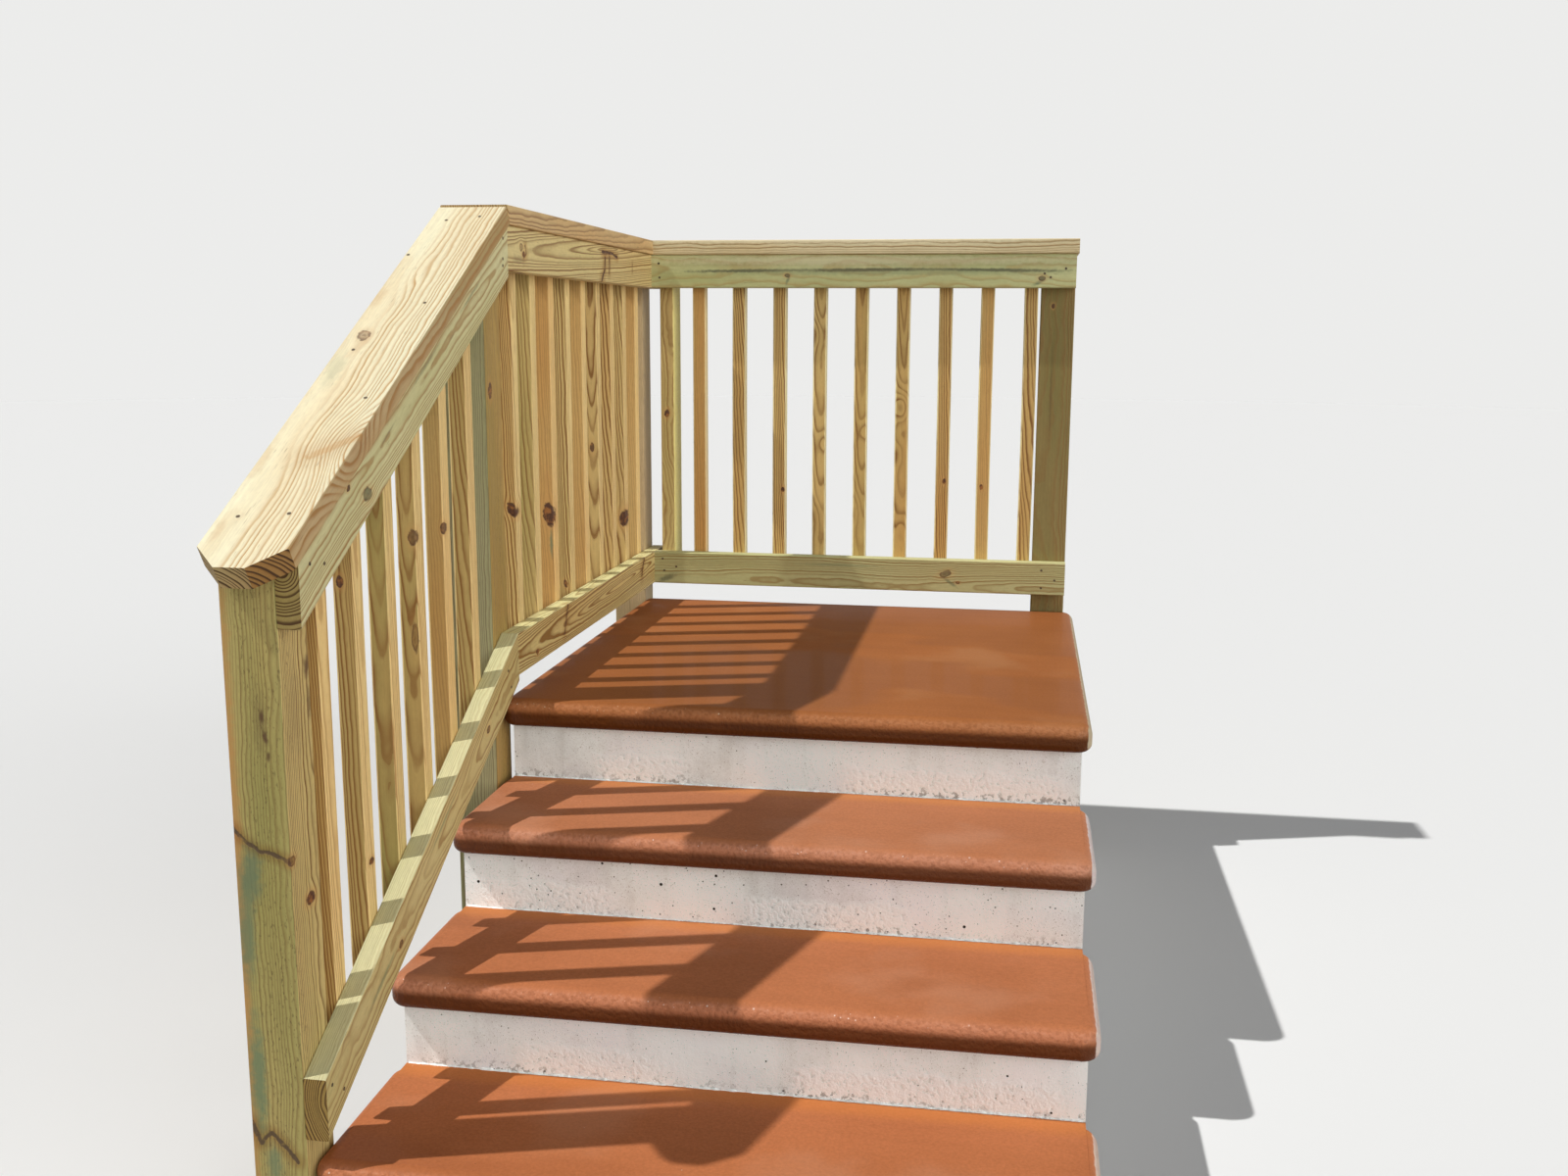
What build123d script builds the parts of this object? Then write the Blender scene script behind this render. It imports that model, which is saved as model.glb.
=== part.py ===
"""Concrete entry steps with a new timber railing, as they stand beside a door.

A square landing and its lower treads are painted concrete with rounded nosings.
A railing of posts, flat rails, square balusters and a wide cap follows the flight,
then the open side of the landing, then its back.

Construction frame: x = 0 at the posts' inner faces, y = 0 at the front face of the
top riser, z = 0 on the ground.  The flight climbs towards +Y and the door side is +X.
Each finished piece is moved so that the origin is below the middle of the whole.
Sizes are in millimetres.
"""

import os
from math import atan2, cos, floor, sin, tan

from build123d import *

os.makedirs("parts", exist_ok=True)

# Concrete flight and landing
riser_count = 4
riser_height = 172.0
tread_going = 297.0
steps_width = 1213.0
landing_depth = 1213.0
tread_thickness = 58.0
nosing_overhang = 30.0
side_overhang = 19.0
nosing_top_radius = 25.0
nosing_bottom_radius = 17.0
plan_corner_radius = 32.0
riser_thickness = 64.0
wall_thickness = 64.0

# Timber sections
post_side = 89.0
board_thickness = 38.0
board_width = 89.0
cap_width = 140.0
baluster_side = 36.0
eased_edge = 3.0

# Railing layout
guard_height = 1000.5
bottom_rail_gap = 48.5
stair_rail_run = 914.0
head_post_setback = 10.0
stair_bottom_rail_lift = 21.0
cap_nose_reach = 77.0
cap_clip = 46.0
cap_end_margin = 6.0
house_post_inset = 26.0
corner_stud_gap = 13.5

# Baluster spacing
head_post_gap = 73.0
stair_baluster_pitch = 127.5
side_baluster_pitch = 125.0
back_first_gap = 55.0
back_baluster_pitch = 113.6
least_gap = 8.0
baluster_foot_lift = 6.0

# Flight levels and places
slope = atan2(riser_height, tread_going)
landing_top = riser_count * riser_height
landing_back = landing_depth - nosing_overhang
wall_left = side_overhang
wall_right = steps_width - side_overhang

# Railing levels and places
rail_top = landing_top + guard_height - board_thickness
rail_bottom = rail_top - board_width
low_rail_bottom = landing_top + bottom_rail_gap
low_rail_top = low_rail_bottom + board_width
joint_y = -head_post_setback
newel_front = joint_y - stair_rail_run
newel_back = newel_front + post_side
head_post_front = joint_y - post_side / 2
head_post_back = joint_y + post_side / 2
back_rail_front = landing_back - board_thickness
back_post_rear = landing_back + post_side
house_post_right = steps_width - house_post_inset
house_post_left = house_post_right - post_side
stud_left = board_thickness + corner_stud_gap
stud_right = stud_left + board_thickness
cap_middle_x = (board_thickness - post_side) / 2
cap_outer_x = cap_middle_x - cap_width / 2
cap_inner_x = cap_middle_x + cap_width / 2
cap_middle_y = landing_back + (post_side - board_thickness) / 2
cap_front_y = cap_middle_y - cap_width / 2
cap_rear_y = cap_middle_y + cap_width / 2

# The low stair rail is set a little flatter than the cap line
top_fall = riser_height / tread_going
low_fall = (stair_rail_run * top_fall - stair_bottom_rail_lift) / stair_rail_run
low_slope = atan2(low_fall, 1.0)

# The frame's origin is on the ground below the middle of everything
nose_y = newel_front - cap_nose_reach
origin_x = (cap_outer_x + steps_width) / 2
origin_y = (nose_y + cap_rear_y) / 2


def rail_line(y):
    """Height of the upper rails' top edge, which is the cap's underside."""
    return rail_top + min(0.0, y - joint_y) * top_fall


def low_rail_line(y):
    """Height of the lower rails' bottom edge."""
    if y >= joint_y:
        return low_rail_bottom
    drop = (joint_y - y) * low_fall
    return low_rail_top - drop - board_width / cos(low_slope)


def side_profile(points, x_low, x_high):
    """A solid with the given outline in the Y-Z plane, between two x planes."""
    outline = Polyline(*[(y, z) for y, z in points], close=True)
    face = Plane.YZ.offset(x_low) * make_face(outline)
    return extrude(face, x_high - x_low)


def ease(solid, direction):
    """Round the long edges that run along a direction, as planed timber has them."""
    along = Vector(*direction).normalized()
    edges = [edge for edge in solid.edges() if abs((edge % 0.5).dot(along)) > 0.9999]
    return fillet(edges, eased_edge)


def rounded_slab(x_low, x_high, y_low, y_high, top):
    """A slab with rounded plan corners and a rounded nosing all round."""
    outline = RectangleRounded(x_high - x_low, y_high - y_low, plan_corner_radius)
    middle = ((x_low + x_high) / 2, (y_low + y_high) / 2, top - tread_thickness)
    slab = extrude(Pos(*middle) * outline, tread_thickness)
    slab = fillet(slab.faces().sort_by(Axis.Z)[-1].edges(), nosing_top_radius)
    return fillet(slab.faces().sort_by(Axis.Z)[0].edges(), nosing_bottom_radius)


def box(x_low, x_high, y_low, y_high, z_low, z_high):
    """A plain box between six planes."""
    size = (x_high - x_low, y_high - y_low, z_high - z_low)
    return Pos(x_low, y_low, z_low) * Box(*size, align=(Align.MIN, Align.MIN, Align.MIN))


def riser_front(step):
    """The front face of a riser, counted from one at the ground."""
    return -(riser_count - step) * tread_going


# Concrete pieces

def make_landing():
    """The square slab at the top, with its nosing on every side."""
    return rounded_slab(0, steps_width, -nosing_overhang, landing_back, landing_top)


def make_tread(step):
    """A tread: the nosed part in front, and a tongue that the riser above stands on."""
    top = step * riser_height
    back = riser_front(step + 1)
    nosed = rounded_slab(0, steps_width, riser_front(step) - nosing_overhang, back, top)
    tongue_front = riser_front(step) + riser_thickness
    tongue = box(wall_left, wall_right, tongue_front, back + riser_thickness, top - tread_thickness, top)
    return nosed + tongue


def make_riser(step):
    """An upright slab between one tread and the next."""
    front = riser_front(step)
    bottom = (step - 1) * riser_height
    top = step * riser_height - tread_thickness
    return box(wall_left, wall_right, front, front + riser_thickness, bottom, top)


def make_side_wall(x_low):
    """A stepped wall that carries one end of the treads and of the landing."""
    back = landing_back - side_overhang - wall_thickness
    points = [(riser_front(1) + riser_thickness, 0)]
    for step in range(1, riser_count + 1):
        level = step * riser_height - tread_thickness
        start = riser_front(step) + riser_thickness
        end = riser_front(step + 1) + riser_thickness if step < riser_count else back
        points += [(start, level), (end, level)]
    points.append((back, 0))
    return side_profile(points, x_low, x_low + wall_thickness)


def make_back_wall():
    """The wall under the landing's back edge."""
    back = landing_back - side_overhang
    top = landing_top - tread_thickness
    return box(wall_left, wall_right, back - wall_thickness, back, 0, top)


# Posts

def make_newel():
    """The post at the foot of the flight, cut to the slope under the cap."""
    points = [
        (newel_front, 0),
        (newel_back, 0),
        (newel_back, rail_line(newel_back)),
        (newel_front, rail_line(newel_front)),
    ]
    return ease(side_profile(points, -post_side, 0), (0, 0, 1))


def make_head_post():
    """The post at the stair head, with its top cut to both runs of the cap."""
    points = [
        (head_post_front, 0),
        (head_post_back, 0),
        (head_post_back, rail_top),
        (joint_y, rail_top),
        (head_post_front, rail_line(head_post_front)),
    ]
    return ease(side_profile(points, -post_side, 0), (0, 0, 1))


def make_back_post(x_low):
    """A post behind the landing's back edge."""
    post = box(x_low, x_low + post_side, landing_back, back_post_rear, 0, rail_top)
    return ease(post, (0, 0, 1))


def make_corner_stud():
    """The flat board on edge that the back rails' inner ends are nailed to."""
    stud = box(stud_left, stud_right, landing_back, back_post_rear, low_rail_bottom, rail_top)
    return ease(stud, (0, 0, 1))


# Rails, on the inner faces of the posts

def make_stair_top_rail():
    """The sloping upper rail, cut plumb at both ends."""
    depth = board_width / cos(slope)
    points = [
        (newel_front, rail_line(newel_front)),
        (joint_y, rail_top),
        (joint_y, rail_top - depth),
        (newel_front, rail_line(newel_front) - depth),
    ]
    return ease(side_profile(points, 0, board_thickness), (0, cos(slope), sin(slope)))


def make_stair_bottom_rail():
    """The sloping lower rail, cut plumb at both ends."""
    depth = board_width / cos(low_slope)
    low_end = low_rail_line(newel_front)
    points = [
        (newel_front, low_end),
        (newel_front, low_end + depth),
        (joint_y, low_rail_top),
        (joint_y, low_rail_top - depth),
    ]
    return ease(side_profile(points, 0, board_thickness), (0, cos(low_slope), sin(low_slope)))


def make_side_rail(z_low):
    """A level rail from the stair head to the back of the corner post."""
    rail = box(0, board_thickness, joint_y, back_post_rear, z_low, z_low + board_width)
    return ease(rail, (0, 1, 0))


def make_back_rail(z_low):
    """A level rail across the back, from the side rail to the post by the house."""
    rail = box(board_thickness, house_post_right, back_rail_front, landing_back, z_low, z_low + board_width)
    return ease(rail, (1, 0, 0))


# Caps

def make_stair_cap():
    """The sloping cap: its top end is mitred, its low end square with clipped corners."""
    half_lean = board_thickness * tan(slope / 2)
    end_y = nose_y + board_thickness * sin(slope)
    end_z = rail_line(end_y)
    length = (joint_y - end_y) / cos(slope)
    plane = Plane(origin=(cap_middle_x, end_y, end_z), x_dir=(1, 0, 0), z_dir=(0, -sin(slope), cos(slope)))
    half = cap_width / 2
    outline = Polyline(
        (-half, length),
        (-half, cap_clip),
        (-half + cap_clip, 0),
        (half - cap_clip, 0),
        (half, cap_clip),
        (half, length),
        close=True,
    )
    board = extrude(plane * make_face(outline), board_thickness)
    waste = side_profile(
        [
            (joint_y, rail_top),
            (joint_y - half_lean, rail_top + board_thickness),
            (joint_y - half_lean, rail_top + cap_width),
            (joint_y + cap_width, rail_top + cap_width),
            (joint_y + cap_width, rail_top),
        ],
        cap_outer_x - board_width,
        cap_inner_x + board_width,
    )
    return ease(board - waste, (0, cos(slope), sin(slope)))


def make_side_cap():
    """The level cap on the open side, mitred to the stair cap and to the back cap."""
    half_lean = board_thickness * tan(slope / 2)
    profile = side_profile(
        [
            (joint_y, rail_top),
            (cap_rear_y, rail_top),
            (cap_rear_y, rail_top + board_thickness),
            (joint_y - half_lean, rail_top + board_thickness),
        ],
        cap_outer_x,
        cap_inner_x,
    )
    return ease(profile - corner_mitre_waste(), (0, 1, 0))


def make_back_cap():
    """The level cap across the back."""
    right = house_post_right + cap_end_margin
    outline = Polyline(
        (cap_inner_x, cap_front_y),
        (right, cap_front_y),
        (right, cap_rear_y),
        (cap_outer_x, cap_rear_y),
        close=True,
    )
    board = extrude(Plane.XY.offset(rail_top) * make_face(outline), board_thickness)
    return ease(board, (1, 0, 0))


def corner_mitre_waste():
    """What the mitre at the back corner takes off the side cap."""
    outline = Polyline(
        (cap_inner_x, cap_front_y),
        (cap_outer_x, cap_rear_y),
        (cap_inner_x, cap_rear_y),
        close=True,
    )
    return extrude(Plane.XY.offset(rail_top) * make_face(outline), board_thickness)


# Balusters, on the outer faces of the rails

def places(first, last, pitch):
    """Evenly pitched centres from the first towards a limit."""
    step = pitch if last > first else -pitch
    count = floor(abs(last - first) / pitch) + 1
    return [first + index * step for index in range(count)]


def make_stair_balusters():
    """Square balusters beside the flight, cut to the slope at both ends."""
    half = baluster_side / 2
    first = head_post_front - head_post_gap - half
    last = newel_back + least_gap + half
    balusters = []
    for middle in places(first, last, stair_baluster_pitch):
        near, far = middle - half, middle + half
        points = [
            (near, low_rail_line(near) + baluster_foot_lift),
            (far, low_rail_line(far) + baluster_foot_lift),
            (far, rail_line(far)),
            (near, rail_line(near)),
        ]
        balusters.append(ease(side_profile(points, -baluster_side, 0), (0, 0, 1)))
    return balusters


def make_side_balusters():
    """Square balusters along the open side of the landing."""
    half = baluster_side / 2
    first = head_post_back + head_post_gap + half
    last = landing_back - least_gap - half
    foot = low_rail_bottom + baluster_foot_lift
    balusters = []
    for middle in places(first, last, side_baluster_pitch):
        piece = box(-baluster_side, 0, middle - half, middle + half, foot, rail_top)
        balusters.append(ease(piece, (0, 0, 1)))
    return balusters


def make_back_balusters():
    """Square balusters across the back of the landing."""
    half = baluster_side / 2
    first = stud_right + back_first_gap + half
    last = house_post_left - least_gap - half
    foot = low_rail_bottom + baluster_foot_lift
    balusters = []
    for middle in places(first, last, back_baluster_pitch):
        piece = box(middle - half, middle + half, landing_back, landing_back + baluster_side, foot, rail_top)
        balusters.append(ease(piece, (0, 0, 1)))
    return balusters


def write_node(name, solids):
    """Move a piece, or several like pieces, to the part's own frame and write its file."""
    moved = [Pos(-origin_x, -origin_y, 0) * solid for solid in solids]
    shape = moved[0] if len(moved) == 1 else Compound(children=moved)
    export_step(shape, f"parts/{name}.step")


write_node("landing", [make_landing()])
for step in range(1, riser_count):
    write_node(f"tread_{step}", [make_tread(step)])
for step in range(1, riser_count + 1):
    write_node(f"riser_{step}", [make_riser(step)])
write_node("left_wall", [make_side_wall(wall_left)])
write_node("right_wall", [make_side_wall(wall_right - wall_thickness)])
write_node("back_wall", [make_back_wall()])

write_node("newel_post", [make_newel()])
write_node("stair_head_post", [make_head_post()])
write_node("corner_post", [make_back_post(-post_side)])
write_node("house_side_post", [make_back_post(house_post_left)])
write_node("corner_stud", [make_corner_stud()])

write_node("stair_top_rail", [make_stair_top_rail()])
write_node("stair_bottom_rail", [make_stair_bottom_rail()])
write_node("side_top_rail", [make_side_rail(rail_bottom)])
write_node("side_bottom_rail", [make_side_rail(low_rail_bottom)])
write_node("back_top_rail", [make_back_rail(rail_bottom)])
write_node("back_bottom_rail", [make_back_rail(low_rail_bottom)])

write_node("stair_cap", [make_stair_cap()])
write_node("side_cap", [make_side_cap()])
write_node("back_cap", [make_back_cap()])

write_node("stair_balusters", make_stair_balusters())
write_node("side_balusters", make_side_balusters())
write_node("back_balusters", make_back_balusters())
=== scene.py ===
"""A concrete flight of entry steps and its timber railing, dressed over the fixed frame.

The frame holds every piece at its real size.  Here each board gets its grain, knots
and treatment tint, the concrete gets its paint, and the balusters, screws and paint
lines are made as meshes.  Lengths are in metres and +Z is up.  The flight climbs
towards +Y, and the railing stands on the -X side.
"""
from dataclasses import dataclass
from math import atan2, cos, radians, sin, tau

import bmesh
import bpy
from bpy.props import FloatProperty, FloatVectorProperty, IntProperty, PointerProperty
from mathutils import Matrix, Vector


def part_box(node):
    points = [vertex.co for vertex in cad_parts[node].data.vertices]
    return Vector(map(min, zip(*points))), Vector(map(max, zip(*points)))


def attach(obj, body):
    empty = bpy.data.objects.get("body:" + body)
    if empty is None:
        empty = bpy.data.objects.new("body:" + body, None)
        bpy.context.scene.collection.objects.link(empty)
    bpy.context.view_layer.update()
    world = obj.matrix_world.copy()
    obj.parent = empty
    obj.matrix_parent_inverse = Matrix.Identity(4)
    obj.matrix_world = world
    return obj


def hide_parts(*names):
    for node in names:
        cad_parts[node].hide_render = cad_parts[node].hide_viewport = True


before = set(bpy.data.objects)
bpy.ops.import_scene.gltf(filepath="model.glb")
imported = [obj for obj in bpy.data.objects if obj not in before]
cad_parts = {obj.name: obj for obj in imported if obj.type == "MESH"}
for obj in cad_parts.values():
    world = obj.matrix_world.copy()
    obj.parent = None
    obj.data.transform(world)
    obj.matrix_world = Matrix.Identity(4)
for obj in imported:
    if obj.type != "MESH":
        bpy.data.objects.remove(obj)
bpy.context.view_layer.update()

bl_info = {
    "name": "Entry steps",
    "version": (1, 0, 0),
    "blender": (4, 5, 0),
    "location": "3D View > Sidebar > Steps",
    "description": "Dresses painted concrete steps and their timber railing",
    "category": "Object",
}

body = "root"


# Sizes read from the frame

def middle(node):
    """The middle of a node's box."""
    low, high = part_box(node)
    return (low + high) / 2


def extent(node):
    """The lengths of a node's box along x, y and z."""
    return [end - start for start, end in zip(*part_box(node))]


treads = ("tread_1", "tread_2", "tread_3", "landing")
risers = ("riser_1", "riser_2", "riser_3", "riser_4")
walls = ("left_wall", "right_wall", "back_wall")

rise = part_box("tread_2")[1].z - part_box("tread_1")[1].z
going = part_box("riser_3")[0].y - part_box("riser_2")[0].y
slope = atan2(rise, going)

board_thickness, _, board_depth = extent("side_top_rail")
half_board = board_thickness / 2
half_post = extent("stair_head_post")[0] / 2
stick_side = extent("side_balusters")[0]

# The low stair rail falls a little less than the flight does.  Its box holds its depth at its
# own slope, so its fall is worked out again once that slope is about known.
_, low_run, low_rise = extent("stair_bottom_rail")
low_fall = (low_rise - board_depth / cos(slope)) / low_run
low_slope = atan2(low_fall, 1.0)
low_fall = (low_rise - board_depth / cos(low_slope)) / low_run


def uphill(tilt):
    """The way a sloping board runs up the flight."""
    return (0.0, cos(tilt), sin(tilt))


def off_slope(tilt):
    """The way square to a slope, up and away from it."""
    return (0.0, -sin(tilt), cos(tilt))


up, level, sideways, leftwards = (0, 0, 1), (0, 1, 0), (1, 0, 0), (-1, 0, 0)
front, door_side, outer_corner = (0, -1, 0), (1, 0, 0), (-0.707, -0.707, 0)


# What a user would change

def colour(name, text, value):
    """A colour property."""
    return FloatVectorProperty(name=name, description=text, subtype="COLOR", size=3, min=0, max=1,
                               default=value)


def measure(name, text, value, **limits):
    """A property with one number."""
    return FloatProperty(name=name, description=text, default=value, **limits)


def share(name, text, value):
    """A property from 0 to 1."""
    return measure(name, text, value, subtype="FACTOR", min=0, max=1)


def length(name, text, value):
    """A length property, in metres."""
    return measure(name, text, value, unit="LENGTH", precision=4, min=0)


def angle(name, text, degrees):
    """An angle property, given here in degrees."""
    return measure(name, text, radians(degrees), subtype="ANGLE")


class TimberSettings(bpy.types.PropertyGroup):
    """Colours and sizes of the planed pine."""

    pale: colour("Sapwood", "Colour of the pale early wood", (0.80, 0.60, 0.265))
    # Bleached is sun-bleached wood, and on the stair cap partly painted light for a top in full sun; it
    # also paints a line of glints along the back cap's edge
    bleached: colour("Bleached", "Colour of pale wood that the sun has bleached", (0.93, 0.84, 0.58))
    amber: colour("Heartwood", "Colour of the redder heartwood", (0.73, 0.39, 0.125))
    olive: colour("Treatment", "Tint that the treatment leaves", (0.43, 0.385, 0.120))
    late: colour("Late wood", "Colour of the dark lines in the grain", (0.22, 0.098, 0.021))
    knot: colour("Knot", "Colour of a knot's heart", (0.31, 0.120, 0.028))
    bark: colour("Knot rim", "Colour of the dark rim of a knot", (0.080, 0.030, 0.012))
    stain: colour("Stain", "Colour of the green copper stains", (0.17, 0.23, 0.12))
    cut: colour("Cut ends", "Colour that sawn ends are multiplied by", (0.60, 0.47, 0.30))
    ring: length("Ring width", "Mean width of one year's growth", 0.0074)
    sway: length("Sway", "How far the grain wanders sideways", 0.018)
    relief: length("Relief", "Height of the raised grain", 0.0006)
    fibre: share("Fibre", "Strength of the fine streaks", 0.20)


class StickSettings(bpy.types.PropertyGroup):
    """Shape of the balusters."""

    eased: length("Eased edge", "Radius of the rounded long edges", 0.0038)
    bow: length("Bow", "Largest sideways bow at mid height", 0.0022)
    twist: angle("Twist", "Largest turn of one baluster", 0.6)
    seed: IntProperty(name="Seed", description="Picks another set of sticks", min=0, default=7)


class ScrewSettings(bpy.types.PropertyGroup):
    """Sizes of the screw heads."""

    width: length("Head width", "Diameter of a screw head", 0.0064)
    stand: length("Stand", "How far a head stands out of the wood", 0.0004)
    metal: colour("Metal", "Colour of the dull coated head", (0.045, 0.032, 0.020))


class PaintSettings(bpy.types.PropertyGroup):
    """Colours and sizes of the painted concrete."""

    tread: colour("Tread paint", "Colour of the paint on treads and landing", (0.51, 0.185, 0.080))
    # Soaked paint is also the base of the painted shade on the nosings' lower half and between their lumps
    deep: colour("Soaked tread paint", "Colour where the paint is thick or soaked", (0.215, 0.060, 0.018))
    riser: colour("Riser paint", "Colour of the paint on the risers", (0.93, 1.0, 1.0))
    # The grime colour also paints the shade between the lumps of the risers' rough patches
    grime: colour("Riser grime", "Colour of the dirt on the risers", (0.48, 0.49, 0.46))
    blush: colour("Riser blush", "Rosy cast of the thin riser paint", (0.90, 0.90, 0.94))
    pore: colour("Pore", "Colour inside the open pores", (0.030, 0.026, 0.022))
    bare: colour("Bare concrete", "Colour of the unpainted walls", (0.47, 0.44, 0.40))
    stipple: length("Stipple", "Depth of the stipple on the nosings", 0.0020)
    bare_edge: length("Bare edge", "Width of the unpainted strip beside the door side", 0.009)
    bead: length("Paint line", "Radius of the paint line at the foot of a riser", 0.0024)


class StudioSettings(bpy.types.PropertyGroup):
    """Floor, light and camera."""

    floor: colour("Floor", "Colour of the floor as the camera sees it", (0.864, 0.881, 0.904))
    bounce: colour("Floor bounce", "Colour of the floor as the light sees it", (0.40, 0.40, 0.38))
    backdrop: colour("Backdrop", "Colour behind the floor", (0.84, 0.84, 0.83))
    reach: length("Floor radius", "Radius of the floor", 30.0)
    sky: measure("Sky light", "Strength of the light from all round", 0.09, min=0)
    key: measure("Key light", "Strength of the main light", 2.60, min=0)
    spread: angle("Key spread", "Angle that softens the key light's shadows", 0.8)
    fill: measure("Fill light", "Strength of the wide light from the door side", 3.35, min=0)
    lens: measure("Lens", "Focal length of the camera in millimetres", 33.446)


def add_object(name, data):
    """A new object in the scene."""
    made = bpy.data.objects.new(name, data)
    bpy.context.scene.collection.objects.link(made)
    return made


# Node trees

class Wire:
    """A socket in a node tree. Python's operators on it add the Math nodes that work it out."""

    def __init__(self, tree, socket):
        self.tree = tree
        self.socket = socket

    def maths(self, operation, *values):
        """One Math node, or one Vector Math node where a vector takes part."""
        vectors = [value for value in values if isinstance(value, tuple)
                   or (isinstance(value, Wire) and value.socket.type == "VECTOR")]
        kind = "ShaderNodeVectorMath" if vectors else "ShaderNodeMath"
        return self.tree.add(kind, {"operation": operation}, values)

    def other(self, name):
        """Another output of the same node."""
        return Wire(self.tree, self.socket.node.outputs[name])

    def dot(self, way):
        """How far a vector reaches along a way."""
        return self.maths("DOT_PRODUCT", self, way).other("Value")

    def reach(self):
        """The length of a vector."""
        return self.maths("LENGTH", self).other("Value")

    def fade(self, start, end):
        """A smooth step from 0 at start to 1 at end, which may lie either way round."""
        names = {"Value": self, "From Min": start, "From Max": end}
        return self.tree.add("ShaderNodeMapRange", {"interpolation_type": "SMOOTHSTEP"}, names)

    def parts(self):
        """The three numbers of a vector."""
        node = self.tree.add("ShaderNodeSeparateXYZ", {}, (self,)).socket.node
        return [Wire(self.tree, socket) for socket in node.outputs]


def maths_method(operation, turned=False):
    """A method that adds one Math node, with the wire itself last if the sides are turned."""
    def work(wire, *others):
        values = (*others, wire) if turned else (wire, *others)
        return wire.maths(operation, *values)
    return work


# What Python's operators do to a wire, and the other sums that the trees need
for name, operation in {"add": "ADD", "sub": "SUBTRACT", "mul": "MULTIPLY", "truediv": "DIVIDE",
                        "pow": "POWER"}.items():
    setattr(Wire, f"__{name}__", maths_method(operation))
    setattr(Wire, f"__r{name}__", maths_method(operation, turned=True))
for name, operation in {"root": "SQRT", "floor": "FLOOR", "fraction": "FRACT", "size": "ABSOLUTE",
                        "sine": "SINE", "least": "MINIMUM", "most": "MAXIMUM"}.items():
    setattr(Wire, name, maths_method(operation))


class Tree:
    """A node tree that is filled one node at a time."""

    def __init__(self, tree):
        self.tree = tree

    def add(self, kind, settings=None, sockets=(), output=0):
        """One node: its settings come first, then values or wires for its sockets."""
        node = self.tree.nodes.new(kind)
        for name, value in (settings or {}).items():
            if name == "stops":
                self.set_stops(node.color_ramp, value)
            else:
                setattr(node, name, value)
        pairs = sockets.items() if isinstance(sockets, dict) else enumerate(sockets)
        for key, value in pairs:
            self.feed(node.inputs[key], value)
        return Wire(self, node.outputs[output]) if len(node.outputs) else node

    def feed(self, socket, value):
        """Link a wire to a socket, or set the socket's own value."""
        if isinstance(value, Wire):
            self.tree.links.new(value.socket, socket)
            return
        if socket.type in ("VECTOR", "RGBA") and isinstance(value, (int, float)):
            value = (value, value, value)
        socket.default_value = (*value, 1.0) if socket.type == "RGBA" else value

    @staticmethod
    def set_stops(ramp, stops):
        """Give a ramp its (place, grey) stops."""
        while len(ramp.elements) < len(stops):
            ramp.elements.new(0.5)
        for element, (place, grey) in zip(ramp.elements, stops):
            element.position = place
            element.color = (grey, grey, grey, 1.0)

    def point(self, x, y, z):
        """A vector from three numbers."""
        return self.add("ShaderNodeCombineXYZ", {}, (x, y, z))

    def noise(self, place, detail=2.0, rough=0.5, output=0, scale=1.0):
        """Soft noise around a half. Output 1 gives three of them as a colour."""
        names = {"Vector": place, "Scale": scale, "Detail": detail, "Roughness": rough}
        return self.add("ShaderNodeTexNoise", {}, names, output)

    def streaks(self, place, lengthwise, crosswise, seed=0.0, **settings):
        """Noise drawn out along a board, at a place along it, across it and through it."""
        a, b, c = place
        drawn_out = self.point(a * lengthwise + seed, b * crosswise, c * crosswise)
        return self.noise(drawn_out, **settings)

    def chance(self, value):
        """A number from 0 to 1 that is the same wherever the value is."""
        return self.add("ShaderNodeTexWhiteNoise", {"noise_dimensions": "1D"}, {"W": value})


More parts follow.
